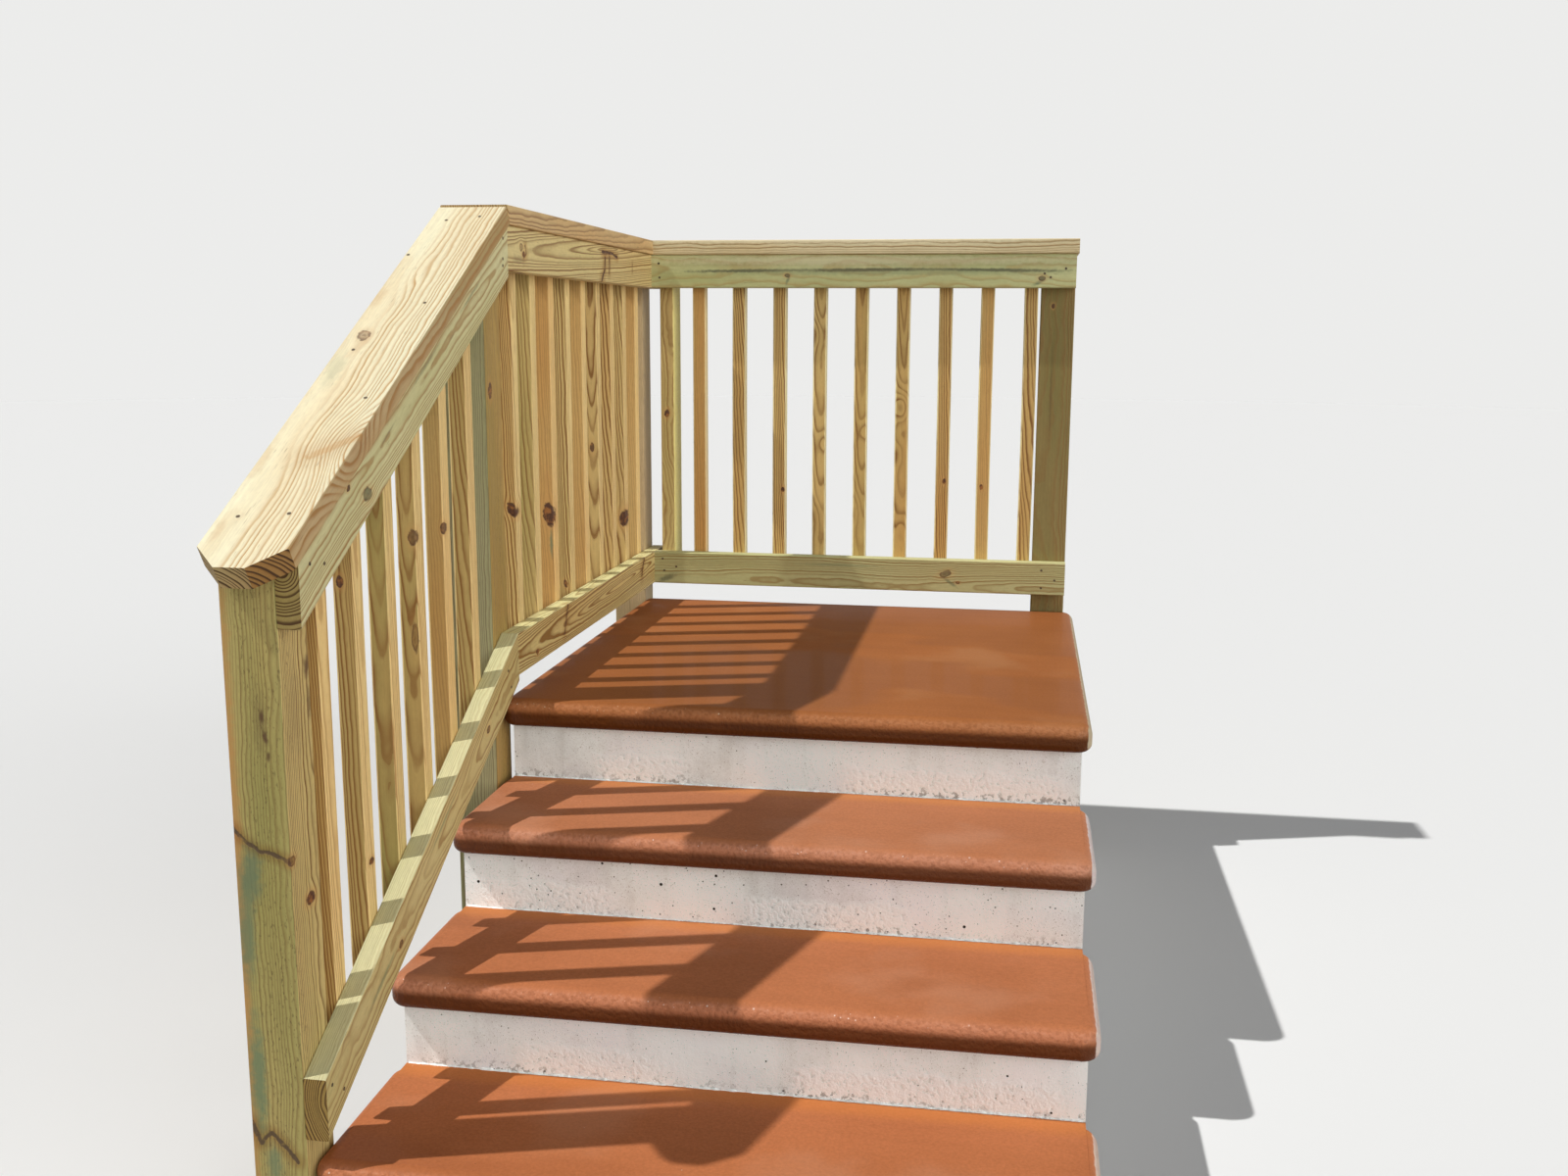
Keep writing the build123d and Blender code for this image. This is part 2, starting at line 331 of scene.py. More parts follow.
class Finish(Tree):
    """A material being made."""

    def __init__(self, name):
        self.material = bpy.data.materials.new(name)
        self.material.use_nodes = True
        super().__init__(self.material.node_tree)
        self.tree.nodes.clear()
        self.where = self.add("ShaderNodeTexCoord", output=3)
        self.facing = self.where.other("Normal")

    def attribute(self, name, output):
        """A value stored on the piece's own mesh."""
        return self.add("ShaderNodeAttribute", {"attribute_name": name}, output=output)

    def blend(self, factor, first, second):
        """A colour between two colours."""
        return self.add("ShaderNodeMix", {"data_type": "RGBA"}, {0: factor, 6: first, 7: second}, 2)

    def layers(self, base, *coats):
        """Colours laid over a base in their order, each through its own mask."""
        for mask, tint in coats:
            base = self.blend(mask, base, tint)
        return base

    def tone(self, first, amount):
        """A colour made lighter or darker by a factor, or by another colour."""
        settings = {"data_type": "RGBA", "blend_type": "MULTIPLY", "clamp_result": False}
        is_number = isinstance(amount, Wire) and amount.socket.type == "VALUE"
        grey = self.point(amount, amount, amount) if is_number else amount
        return self.add("ShaderNodeMix", settings, {0: 1.0, 6: first, 7: grey}, 2)

    def shaken(self, place, scale):
        """Ragged noise around zero, as a vector."""
        shake = self.noise(place, detail=3.0, rough=0.6, output=1, scale=scale)
        return self.add("ShaderNodeVectorMath", {}, (shake,)) - 0.5

    def pores(self, place, cell, share_open, small, large):
        """Round open pores: 1 inside a pore and 0 outside, with the given share of the cells open."""
        distance = self.add("ShaderNodeTexVoronoi", {}, {"Vector": place, "Scale": 1 / cell})
        luck, width, _ = distance.other("Color").parts()
        radius = (small + width * width * (large - small)) / cell
        return (distance / radius).fade(1.0, 0.75) * luck.fade(share_open, share_open - 0.01)

    def surface(self, base, roughness, height, depth, gloss=0.4, coat=None, coat_roughness=0.08):
        """The shader itself. Height is in units of depth, which is in metres."""
        bump = self.add("ShaderNodeBump", {}, {"Height": height, "Distance": depth})
        names = {"Base Color": base, "Roughness": roughness, "Normal": bump, "Specular IOR Level": gloss}
        if coat is not None:
            names["Coat Weight"] = coat
            names["Coat Roughness"] = coat_roughness
        shader = self.add("ShaderNodeBsdfPrincipled", {}, names)
        self.add("ShaderNodeOutputMaterial", {}, {"Surface": shader})
        return self.material


# Timber

@dataclass
class Spot:
    """A knot, swirl or stain: its place on the board, half its width, and how it looks.

    A place is along, across and through the board, from its middle.  Two numbers put it on
    the board's main face.
    """

    place: tuple
    size: float
    stretch: float = 1.5
    turn: float = 0.0
    dark: float = 1.0
    green: float = 0.0
    swell: float = 0.8


@dataclass
class Crack:
    """A dark line over a board: the points it runs through, its width, and how it looks."""

    points: tuple
    width: float = 0.0020
    dark: float = 0.85
    green: float = 0.0


@dataclass
class Side:
    """What is different on the side of a board that faces one way. Its tint paints light and shade on that
    face, making it lighter or darker for how light falls on it.
    """

    way: tuple
    amber: float = 0.0
    olive: float = 0.0
    tint: tuple = (1, 1, 1)
    start: float = 0.5
    lines: float = 1.0


@dataclass
class Board:
    """How one board was sawn: its directions, its place in the log, its tones, knots and stains."""

    node: str
    along: tuple
    across: tuple
    pith: tuple = (0.02, -0.06)
    drift: tuple = (0.0, 0.0)
    ring: float = 1.0
    amber: float = 0.15
    olive: float = 0.1
    bleach: float = 0.0
    sides: tuple = ()
    sawn: tuple = (1, 1)
    tint: tuple = (1, 1, 1)
    lines: float = 0.9
    flat: float = 0.6
    sway: float = 1.0
    cut: float = 0.78
    specks: float = 0.0
    knots: tuple = ()
    swirls: tuple = ()
    stains: tuple = ()
    cracks: tuple = ()
    seed: float = 0.0
    face: float = half_board

    def __post_init__(self):
        """Put the places that have two numbers on the main face."""
        for spot in (*self.knots, *self.swirls, *self.stains):
            spot.place = (*spot.place, self.face)[:3]
        for crack in self.cracks:
            crack.points = [(*point, self.face)[:3] for point in crack.points]


# How deep a spot reaches, in halves of its width
spot_depth = 2.2


def find_spots(finish, place, spots, ragged=True):
    """How far a place is from each spot, where 1 is the spot's edge."""
    warp = finish.shaken(place, 75.0) * 1.1 if ragged else (0.0, 0.0, 0.0)
    distances = []
    for spot in spots:
        names = {"Vector": place, "Location": spot.place, "Rotation": (0, 0, radians(spot.turn)),
                 "Scale": (spot.size * spot.stretch, spot.size, spot.size * spot_depth)}
        inside = finish.add("ShaderNodeMapping", {"vector_type": "TEXTURE"}, names)
        distances.append((inside + warp).reach())
    return distances


def grow_grain(finish, timber, board, place, pith, swell, seed):
    """Late wood, fine fibre and mottling at a place in the log.

    The place runs along the board, across its width and through its thickness.  Swell is
    what a swirl adds to the growth.
    """
    a, b, c = place
    sway_b, sway_c, _ = finish.streaks(place, 2.1, 3, seed, detail=1.0, output=1).parts()
    width = timber.sway * board.sway * 2
    drift_b, drift_c = board.drift
    from_b = b - pith[0] + a * drift_b + (sway_b - 0.5) * width
    from_c = c - pith[1] + a * drift_c + (sway_c - 0.5) * width
    ripple = finish.streaks(place, 13, 17, seed, detail=2.5)
    radius = (from_b * from_b + from_c * from_c).root()
    years = radius + (ripple - 0.5) * (0.0085 * board.sway + 0.0012) + swell
    thicker = finish.noise(finish.point(radius * 42 + seed, 0.0, 0.0), detail=0.0)
    years = years / (timber.ring * board.ring) + (thicker - 0.5) * 3.6

    # Where a face runs flat along a ring, the line is wide and faint
    through = Vector(board.along).cross(Vector(board.across))
    flat = from_b * finish.facing.dot(board.across) + from_c * finish.facing.dot(tuple(through))
    flat = flat / radius
    strength = finish.chance(years.floor() + seed) * 0.65 + 0.55
    strength = strength * (flat.size().fade(1.0, 0.86) * (1 - board.flat) + board.flat)
    stops = ((0.0, 0.55), (0.10, 0.0), (0.46, 0.05), (0.70, 0.45), (0.87, 1.0), (1.0, 0.85))
    late = finish.add("ShaderNodeValToRGB", {"stops": stops}, (years.fraction(),)) * strength
    fibre = finish.streaks(place, 9, 480, seed, detail=3.0, rough=0.6)
    mottle = finish.streaks(place, 70, 150, seed, detail=3.0, rough=0.6)
    return late, fibre, mottle


bleached_lines = (0.62, 0.34, 0.11)


def colour_grain(finish, timber, board, place, grain, lines, ends, amber, olive, seed):
    """Colour and height of plain wood."""
    late, fibre, mottle = grain
    warm, green, dull = finish.streaks(place, 1.6, 11, seed, output=1).parts()
    pale = finish.blend(board.bleach, timber.pale, timber.bleached)
    base = finish.blend((amber + (warm - 0.5) * 0.9).fade(0.0, 1.0), pale, timber.amber)
    base = finish.blend((olive + (green - 0.5) * 0.9).fade(0.05, 0.95), base, timber.olive)
    grey = (fibre - 0.5) * (2 * timber.fibre) + (mottle - 0.5) * 0.24 - (dull - 0.5) * 0.26 + 1
    base = finish.tone(finish.tone(base, board.tint), grey)
    ink = Vector(timber.late).lerp(Vector(bleached_lines), board.bleach * 0.85)
    ink = tuple(part * tint / board.tint[0] for part, tint in zip(ink, board.tint))
    base = finish.blend(late * lines, base, ink)
    if board.specks:
        mould = finish.streaks(place, 110, 330, seed, detail=3.0, rough=0.6)
        mould = mould.fade(0.56, 0.70) * dull.fade(0.50, 0.62) * board.specks
        base = finish.blend(mould, base, timber.bark)
    flecks = finish.streaks(place, 30, 560, detail=1.0).fade(0.70, 0.78)
    base = finish.blend(flecks * 0.5, base, timber.late)
    cut_lines = late.fade(0.15, 0.60) * board.cut
    cut = finish.blend(cut_lines, finish.tone(base, timber.cut), finish.tone(timber.late, 0.2))
    base = finish.blend(ends, base, cut)
    return base, late * 0.6 + fibre * 0.25 + mottle * 0.25 - flecks * 0.3


def colour_knots(finish, timber, base, height, place, knots, distances):
    """Add the knots' hearts, rims and haloes."""
    blotch = finish.noise(place, detail=3.0, rough=0.6, scale=72.0)
    for knot, distance in zip(knots, distances):
        rings = (distance * 10.0).sine() * 0.5 + 0.5
        pale = finish.tone(finish.blend(rings * 0.5, base, timber.late), (0.80, 0.72, 0.66))
        pale = finish.blend(knot.green, pale, timber.stain)
        dark = finish.blend(blotch.fade(0.36, 0.56), timber.knot, timber.bark)
        halo = distance.fade(2.6, 0.9) * (knot.dark * 0.3 + 0.15)
        base = finish.blend(halo, base, finish.tone(timber.amber, 0.8))
        base = finish.blend(distance.fade(1.04, 0.92), base, finish.blend(min(knot.dark, 1.0), pale, dark))
        rim = distance.fade(0.76, 0.98) * distance.fade(1.24, 1.04) * blotch.fade(0.30, 0.52)
        base = finish.blend(rim * (knot.dark * 0.35 + 0.55), base, timber.bark)
        height = height - rim * 0.9
    return base, height


def stain_colour(finish, timber, green):
    """Amber below 0, from dark bark to green copper between 0 and 1, and bleached above 1, which on the
    back cap's edge is a line of painted glints.
    """
    if green < 0:
        return finish.tone(timber.amber, 0.72)
    if green > 1:
        return timber.bleached
    return finish.blend(green, timber.bark, timber.stain)


def colour_stains(finish, timber, base, stains, distances):
    """Add the stains, soft at their edges."""
    for stain, distance in zip(stains, distances):
        tint = stain_colour(finish, timber, stain.green)
        base = finish.blend(distance.fade(1.25, 0.25) * stain.dark, base, tint)
    return base


def colour_cracks(finish, timber, base, height, place, cracks):
    """Add the dark lines, each a little ragged."""
    here = place + finish.shaken(place, 60.0) * 0.009
    patchy = finish.noise(place, scale=70.0).fade(0.18, 0.44)
    for crack in cracks:
        gaps = []
        for first, second in zip(crack.points, crack.points[1:]):
            way = Vector(second) - Vector(first)
            inner = here - first
            share_along = inner.dot(tuple(way / way.length_squared)).most(0.0).least(1.0)
            gaps.append((inner - share_along * tuple(way)).reach())
        distance = gaps[0]
        for gap in gaps[1:]:
            distance = distance.least(gap)
        tint = stain_colour(finish, timber, crack.green)
        halo = distance.fade(crack.width * 5, 0.0) * 0.85
        line = distance.fade(crack.width, crack.width * 0.5) * patchy
        base = finish.layers(base, (halo * crack.dark, finish.tone(base, (0.66, 0.48, 0.32))),
                             (line * crack.dark, tint))
        height = height - line * 1.2
    return base, height


def nearness(distance):
    """1 at a spot's middle, fading softly around it."""
    return 2.718 ** (distance * distance * -0.30)


def wood_surface(finish, board, place_vector, pith, lines, amber, olive, spot_place=None, seed=None):
    """The whole of one board's wood, knots and stains."""
    timber = bpy.context.scene.timber
    place = place_vector.parts()
    upright = finish.facing.dot(tuple(board.along))
    ends = upright.fade(-0.45, -0.70) * board.sawn[0] + upright.fade(0.45, 0.70) * board.sawn[1]
    masks = [finish.facing.dot(side.way).fade(side.start, side.start + 0.12) for side in board.sides]
    for mask, side in zip(masks, board.sides):
        amber = mask * side.amber + amber
        olive = mask * side.olive + olive
        lines = (mask * (side.lines - 1) + 1) * lines
    spot_place = spot_place or place_vector
    if seed is None:
        seed = board.seed

    # The grain parts round a knot, and a swirl draws ovals
    parted = place_vector
    for knot, distance in zip(board.knots, find_spots(finish, spot_place, board.knots, ragged=False)):
        parted = parted - (spot_place - knot.place) * (nearness(distance) * 0.8)
    swell = 0.0
    for swirl, distance in zip(board.swirls, find_spots(finish, spot_place, board.swirls, ragged=False)):
        swell = nearness(distance) * (swirl.swell * swirl.size) + swell
    near = find_spots(finish, spot_place, board.knots) if board.knots else ()
    grain = grow_grain(finish, timber, board, parted.parts(), pith, swell, seed)
    base, height = colour_grain(finish, timber, board, place, grain, lines, ends, amber, olive, seed)
    # Painted light and shade: each side's tint makes the faces that look its way lighter or darker for how
    # light falls on them
    for mask, side in zip(masks, board.sides):
        base = finish.tone(base, finish.blend(mask, (1.0, 1.0, 1.0), side.tint))
    if board.stains:
        soaked = find_spots(finish, spot_place, board.stains)
        base = colour_stains(finish, timber, base, board.stains, soaked)
    if board.cracks:
        base, height = colour_cracks(finish, timber, base, height, spot_place, board.cracks)
    base, height = colour_knots(finish, timber, base, height, spot_place, board.knots, near)
    return finish.surface(base, 0.66 - grain[0] * 0.14 + ends * 0.2, height, timber.relief)


def board_material(board):
    """The material of one sawn board, laid out from the board's own middle."""
    finish = Finish(board.node + "_pine")
    along = Vector(board.along)
    across = Vector(board.across)
    axes = Matrix((along, across, along.cross(across))).transposed()
    names = {"Vector": finish.where, "Location": middle(board.node), "Rotation": axes.to_euler()}
    place = finish.add("ShaderNodeMapping", {"vector_type": "TEXTURE"}, names)
    return wood_surface(finish, board, place, board.pith, board.lines, board.amber, board.olive)


def dress(node, material):
    """Give a node of the frame its finished material."""
    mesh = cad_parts[node].data
    mesh.materials.clear()
    mesh.materials.append(material)


# The tints of the posts' sides are painted shade on their shaded faces, and painted light on the corner
# stud's lit door side
posts = (
    Board("newel_post", up, sideways, face=-half_post, pith=(0.11, 0.05), drift=(0.006, 0.0), ring=0.58,
          amber=0.25, olive=0.05,
          sides=(Side(front, olive=0.45, tint=(0.74, 0.79, 0.72), lines=0.65),
                 Side(door_side, amber=-0.1, olive=0.15, tint=(0.82, 0.86, 0.8), lines=1.1)),
          lines=0.95, sway=0.8, specks=0.55, seed=1.0,
          knots=(Spot((0.078, half_post, -0.0386), 0.0045, dark=0.4),
                 Spot((0.001, half_post, 0.0115), 0.0055, 1.7)),
          cracks=(Crack(((0.125, -0.044), (0.11, -0.03), (0.092, -0.002), (0.089, 0.02), (0.076, 0.044)),
                        0.004, dark=0.95, green=0.12),
                  Crack(((-0.35, -0.044), (-0.383, -0.03), (-0.364, -0.012), (-0.385, 0.008),
                         (-0.41, 0.03)),
                        0.0044, dark=0.95, green=0.12)),
          stains=(Spot((0.0, -0.042), 0.013, 60.0, dark=0.85, green=-1),
                  Spot((0.05, -0.022), 0.023, 2.4, turn=6, dark=0.9, green=0.85),
                  Spot((-0.045, -0.032), 0.017, 5.0, turn=2, dark=0.8, green=0.9),
                  Spot((-0.27, -0.028), 0.016, 7.0, dark=0.85, green=1.0),
                  Spot((-0.42, -0.01), 0.016, 2.5, dark=0.75, green=1.0),
                  Spot((0.29, 0.008), 0.013, 4.0, dark=0.3),
                  Spot((0.3, 0.012), 0.0045, 2.5, turn=4, dark=0.85),
                  Spot((0.268, 0.016), 0.0045, 3.0, turn=-8, dark=0.85),
                  Spot((0.24, 0.019), 0.0035, 2.5, dark=0.8),
                  Spot((0.359, half_post, 0.036), 0.005, 4.0, dark=0.8),
                  Spot((0.3, half_post, 0.038), 0.0035, 9.0, dark=0.6),
                  Spot((0.3, half_post, -0.005), 0.011, 8.0, dark=0.22))),
    Board("stair_head_post", up, level, face=-half_post, pith=(0.05, 0.09), ring=0.6, amber=0.4, olive=0.1,
          sides=(Side(front, amber=-0.4, olive=0.35, tint=(0.52, 0.62, 0.78), lines=1.8),
                 Side(door_side, olive=0.26, tint=(0.61, 0.57, 0.42), lines=1.2)),
          lines=0.35, sway=0.8, specks=0.45, seed=2.0,
          stains=(Spot((-0.1, -half_post, 0.015), 0.01, 6.0, dark=0.4, green=1.0),
                  Spot((0.1, 0.01, half_post), 0.008, 9.0, dark=0.3)),
          knots=(Spot((-0.22, 0.01, half_post), 0.008, dark=0.8), Spot((0.5, -0.02), 0.01, dark=0.7))),
    Board("corner_post", up, level, face=-half_post, pith=(-0.03, 0.08), ring=0.6, amber=0.1, olive=0.12,
          lines=0.4, tint=(0.72, 0.74, 0.92), seed=3.0, knots=(Spot((0.1, 0.0, 0.04), 0.009, dark=0.6),)),
    Board("house_side_post", up, sideways, face=-half_post, pith=(-0.05, 0.09), ring=0.8, amber=0.3,
          olive=0.5, lines=0.7, tint=(0.39, 0.39, 0.34), specks=0.4, seed=4.0,
          knots=(Spot((0.69, -0.012), 0.004, dark=0.8), Spot((-0.1, 0.01, 0.04), 0.01, dark=0.7)),
          stains=(Spot((0.45, -0.01), 0.0035, 40.0, dark=0.35),)),
    Board("corner_stud", up, sideways, face=-half_post, pith=(0.05, 0.05), ring=0.65, amber=0.15,
          olive=0.28, lines=0.8, tint=(0.7, 0.71, 0.66), sway=1.3,
          sides=(Side(door_side, amber=-0.3, olive=-0.2, tint=(1.8, 2.2, 1.95)),), specks=0.3, seed=5.0,
          knots=(Spot((0.022, -0.002), 0.0068),)),
)

# The tints of the rails' upper sides are painted light: the tops are made paler and brighter for the sun
# and sky on them
rails = (
    Board("stair_top_rail", uphill(slope), off_slope(slope), pith=(0.016, -0.0087), drift=(0.03, 0.004),
          ring=0.8, amber=0.03, olive=0.36, bleach=0.4, tint=(0.87, 1.0, 1.02), lines=1.0, flat=0.8,
          sway=0.6, sawn=(1, 0), seed=6.0,
          knots=(Spot((-0.265, -0.014), 0.01, 1.6, turn=-30, dark=0.25, green=0.7),
                 Spot((-0.313, 0.033), 0.004, dark=0.9, green=0.5)),
          stains=(Spot((0.3, 0.025), 0.004, 16.0, dark=0.5, green=0.5),
                  Spot((0.05, 0.03), 0.0045, 18.0, dark=0.5, green=0.5),
                  Spot((-0.15, 0.02), 0.003, 14.0, turn=3, dark=0.4, green=0.3),
                  Spot((0.18, 0.01), 0.0028, 8.0, turn=4, dark=0.35))),
    Board("stair_bottom_rail", uphill(low_slope), off_slope(low_slope), pith=(0.0, 0.075),
          drift=(0.03, 0.03), ring=0.6, amber=0.2, olive=0.28, bleach=0.2, lines=1.1,
          tint=(0.77, 0.82, 0.74), sides=(Side(up, amber=-0.25, tint=(1.03, 1.17, 1.48), lines=0.35),),
          specks=0.2, seed=7.0,
          knots=(Spot((-0.2, -0.01), 0.005, dark=0.6), Spot((0.31, 0.0), 0.006, dark=0.6)),
          stains=(Spot((-0.28, 0.0), 0.006, 12.0, dark=0.55, green=1.0),
                  Spot((0.05, 0.02), 0.005, 16.0, dark=0.45, green=1.0))),
    Board("side_top_rail", level, up, pith=(0.031, 0.0157), drift=(-0.059, -0.04), ring=0.8, amber=0.2,
          olive=0.22, bleach=0.1, tint=(0.91, 0.98, 0.98), lines=1.1, flat=0.8, sway=0.15, sawn=(0, 0),
          seed=8.0,
          knots=(Spot((-0.56, 0.006), 0.0075, 1.2, dark=0.2), Spot((-0.545, -0.008), 0.005, dark=0.95)),
          cracks=(Crack(((0.056, 0.014), (0.05, -0.014), (0.022, -0.044)), 0.0062, dark=1.0),
                  Crack(((0.094, 0.018), (0.09, -0.022)), 0.0048),
                  Crack(((0.029, 0.027), (0.1, 0.028), (0.166, 0.021)), 0.0042, dark=1.0),
                  Crack(((0.312, 0.012), (0.31, -0.01)), 0.003, dark=0.5),
                  Crack(((-0.535, 0.01), (-0.528, -0.006), (-0.545, -0.014)), 0.004)),
          stains=(Spot((-0.575, -0.02), 0.01, 4.0, dark=0.35),)),
    Board("side_bottom_rail", level, up, pith=(0.01, 0.012), drift=(-0.02, -0.045), ring=0.74, amber=0.3,
          olive=0.2, bleach=0.1, tint=(0.82, 0.9, 0.83),
          sides=(Side(up, amber=-0.3, tint=(1.16, 1.3, 1.5), lines=0.4),), lines=1.6, flat=0.9, sway=0.35,
          sawn=(0, 0), seed=9.0, knots=(Spot((-0.52, -0.02), 0.006, dark=0.8),),
          cracks=(Crack(((-0.3, 0.042), (-0.315, 0.01), (-0.33, -0.02)), 0.005),
                  Crack(((0.4, 0.044), (0.376, 0.014), (0.37, 0.0)), 0.007))),
    Board("back_top_rail", sideways, up, pith=(0.004, -0.09), ring=0.7, olive=0.38, amber=0.05, bleach=0.4,
          lines=0.8, tint=(0.7, 0.86, 0.82), sway=0.8, sawn=(0, 1), seed=10.0,
          knots=(Spot((-0.196, -0.012), 0.0045, dark=0.5, green=0.6),
                 Spot((0.485, -0.02), 0.006, dark=0.5, green=0.5)),
          stains=(Spot((0.0, 0.028), 0.015, 44.0, dark=0.35, green=2),
                  Spot((0.1, -0.002), 0.011, 60.0, dark=0.45, green=1.0),
                  Spot((-0.31, 0.001), 0.0052, 34.0, turn=0.7, green=0.5),
                  Spot((0.02, 0.003), 0.0056, 42.0, turn=0.5, green=0.4),
                  Spot((0.36, 0.002), 0.0052, 42.0, turn=-0.8, green=0.5),
                  Spot((-0.194, -0.022), 0.0045, 4.0, turn=70, dark=0.8, green=0.8),
                  Spot((0.478, -0.03), 0.006, 3.5, turn=25, dark=0.85, green=0.9))),
    Board("back_bottom_rail", sideways, up, pith=(-0.03, 0.05), drift=(0.0, 0.012), ring=0.66, amber=0.12,
          olive=0.28, bleach=0.1, lines=1.0, flat=0.6, sway=0.6, tint=(0.62, 0.79, 0.82),
          sides=(Side(up, tint=(1.35, 1.45, 1.6)),), sawn=(0, 1), seed=11.0,
          knots=(Spot((0.25, 0.006), 0.0085, 1.8, turn=20, dark=0.3, green=0.3),
                 Spot((0.285, -0.018), 0.0035, dark=0.7)),
          stains=(Spot((-0.54, -0.03), 0.01, 3.5, turn=25, dark=0.75, green=0.5),
                  Spot((0.262, -0.016), 0.005, 6.0, turn=-35, dark=0.7, green=0.7),
                  Spot((-0.05, 0.022), 0.005, 26.0, dark=0.4, green=1.0))),
)

# The tints of the caps' sides are painted shade on the faces that the main light barely reaches
caps = (
    # The stair cap's pale, bleached tone is partly sun-bleached wood and partly painted sunlight on its
    # top
    Board("stair_cap", uphill(slope), leftwards, pith=(0.05, -0.055), drift=(-0.006, 0.01), ring=0.86,
          amber=0.2, olive=0.05, bleach=0.88, lines=0.98, flat=0.2, sway=0.6, cut=0.92,
          tint=(0.94, 1.01, 1.09), sawn=(1, 0), seed=12.0,
          sides=(Side(door_side, amber=0.35, olive=0.25, tint=(0.72, 0.66, 0.58), lines=1.8),),
          knots=(Spot((0.068, 0.038), 0.01, 1.6, turn=20, dark=0.3),),
          swirls=(Spot((-0.275, -0.074), 0.034, 1.7, turn=24, swell=1.1),
                  Spot((0.3, 0.02), 0.01, 4.0, swell=1.0)),
          cracks=(Crack(((-0.236, -0.069), (-0.258, -0.046), (-0.292, -0.01)), 0.012, dark=0.45,
                        green=-1),),
          stains=(Spot((-0.04, 0.05), 0.02, 3.0, turn=8, dark=0.25, green=1.0),
                  Spot((0.203, 0.06), 0.011, 4.0, dark=0.3, green=-1),
                  Spot((0.03, 0.034), 0.013, 3.0, turn=-12, dark=0.28, green=-1),
                  Spot((-0.305, 0.062), 0.011, 5.0, dark=0.32, green=-1),
                  Spot((-0.479, 0.054), 0.009, 4.0, dark=0.3, green=-1))),
    Board("side_cap", level, leftwards, pith=(-0.16, 0.03), drift=(0.02, 0.01), ring=0.62, amber=0.32,
          olive=0.06, lines=1.1, bleach=0.2, sway=0.35, sides=(Side(door_side, tint=(0.86, 0.81, 0.8)),),
          sawn=(0, 0), seed=13.0, knots=(Spot((0.2, 0.02), 0.009, dark=0.7),)),
    Board("back_cap", sideways, level, pith=(0.02, 0.09), ring=0.7, amber=0.3, olive=0.05, lines=0.9,
          sway=0.5, bleach=0.4, sides=(Side(front, tint=(0.85, 0.97, 1.12)),), sawn=(0, 1), seed=14.0,
          # A thin pale line along the front edge, drawn as a bleached stain: painted glints of sun on the
          # ragged edge
          stains=(Spot((0.0, -0.07, 0.015), 0.0034, 170.0, dark=0.5, green=2),),
          knots=(Spot((-0.3, 0.02), 0.009, dark=0.7), Spot((0.2, -0.03), 0.007, dark=0.8))),
)


def dress_boards(boards):
    """Give each board in a list its own material."""
    for board in boards:
        dress(board.node, board_material(board))


# Geometry Nodes trees

class Recipe(Tree):
    """A Geometry Nodes tree with named inputs."""

    def __init__(self, name):
        super().__init__(bpy.data.node_groups.new(name, "GeometryNodeTree"))
        self.tree.interface.new_socket(name="Geometry", in_out="INPUT", socket_type="NodeSocketGeometry")
        self.tree.interface.new_socket(name="Geometry", in_out="OUTPUT", socket_type="NodeSocketGeometry")
        self.inlet = self.tree.nodes.new("NodeGroupInput")
        self.values = {}

    def input(self, name, kind, value):
        """A named input, with the value that this piece gives it."""
        item = self.tree.interface.new_socket(name=name, in_out="INPUT", socket_type="NodeSocket" + kind)
        self.values[item.identifier] = value
        return Wire(self, self.inlet.outputs[name])

    def inputs(self, kind, values):
        """Several named inputs of one kind."""
        return [self.input(name, kind, value) for name, value in values.items()]

    def geometry(self):
        """The mesh that the tree starts from."""
        return Wire(self, self.inlet.outputs["Geometry"])

    def make(self, kind, sockets=(), **settings):
        """One Geometry node."""
        return self.add("GeometryNode" + kind, settings, sockets)

    def extrude(self, mesh, faces, offset):
        """Move the chosen faces up by an offset, with walls to the rest."""
        names = {"Mesh": mesh, "Selection": faces, "Offset": self.point(0.0, 0.0, offset),
                 "Offset Scale": 1.0, "Individual": False}
        return self.make("ExtrudeMesh", names, mode="FACES")

    def finish(self, shape, material):
        """End the tree in real geometry with its material."""
        real = self.make("RealizeInstances", (shape,))
        painted = self.make("SetMaterial", {"Geometry": real, "Material": material})
        outlet = self.tree.nodes.new("NodeGroupOutput")
        self.tree.links.new(painted.socket, outlet.inputs["Geometry"])

    def grow(self, name, start=None):
        """Run the tree and return its result as a plain mesh object with no modifier."""
        seedling = add_object(name + "_start", start or bpy.data.meshes.new(name + "_start"))
        modifier = seedling.modifiers.new("recipe", "NODES")
        modifier.node_group = self.tree
        for identifier, value in self.values.items():
            modifier[identifier] = value
        graph = bpy.context.evaluated_depsgraph_get()
        mesh = bpy.data.meshes.new_from_object(seedling.evaluated_get(graph), depsgraph=graph)
        mesh.name = name
        bpy.data.objects.remove(seedling)
        return add_object(name, mesh)


# Balusters

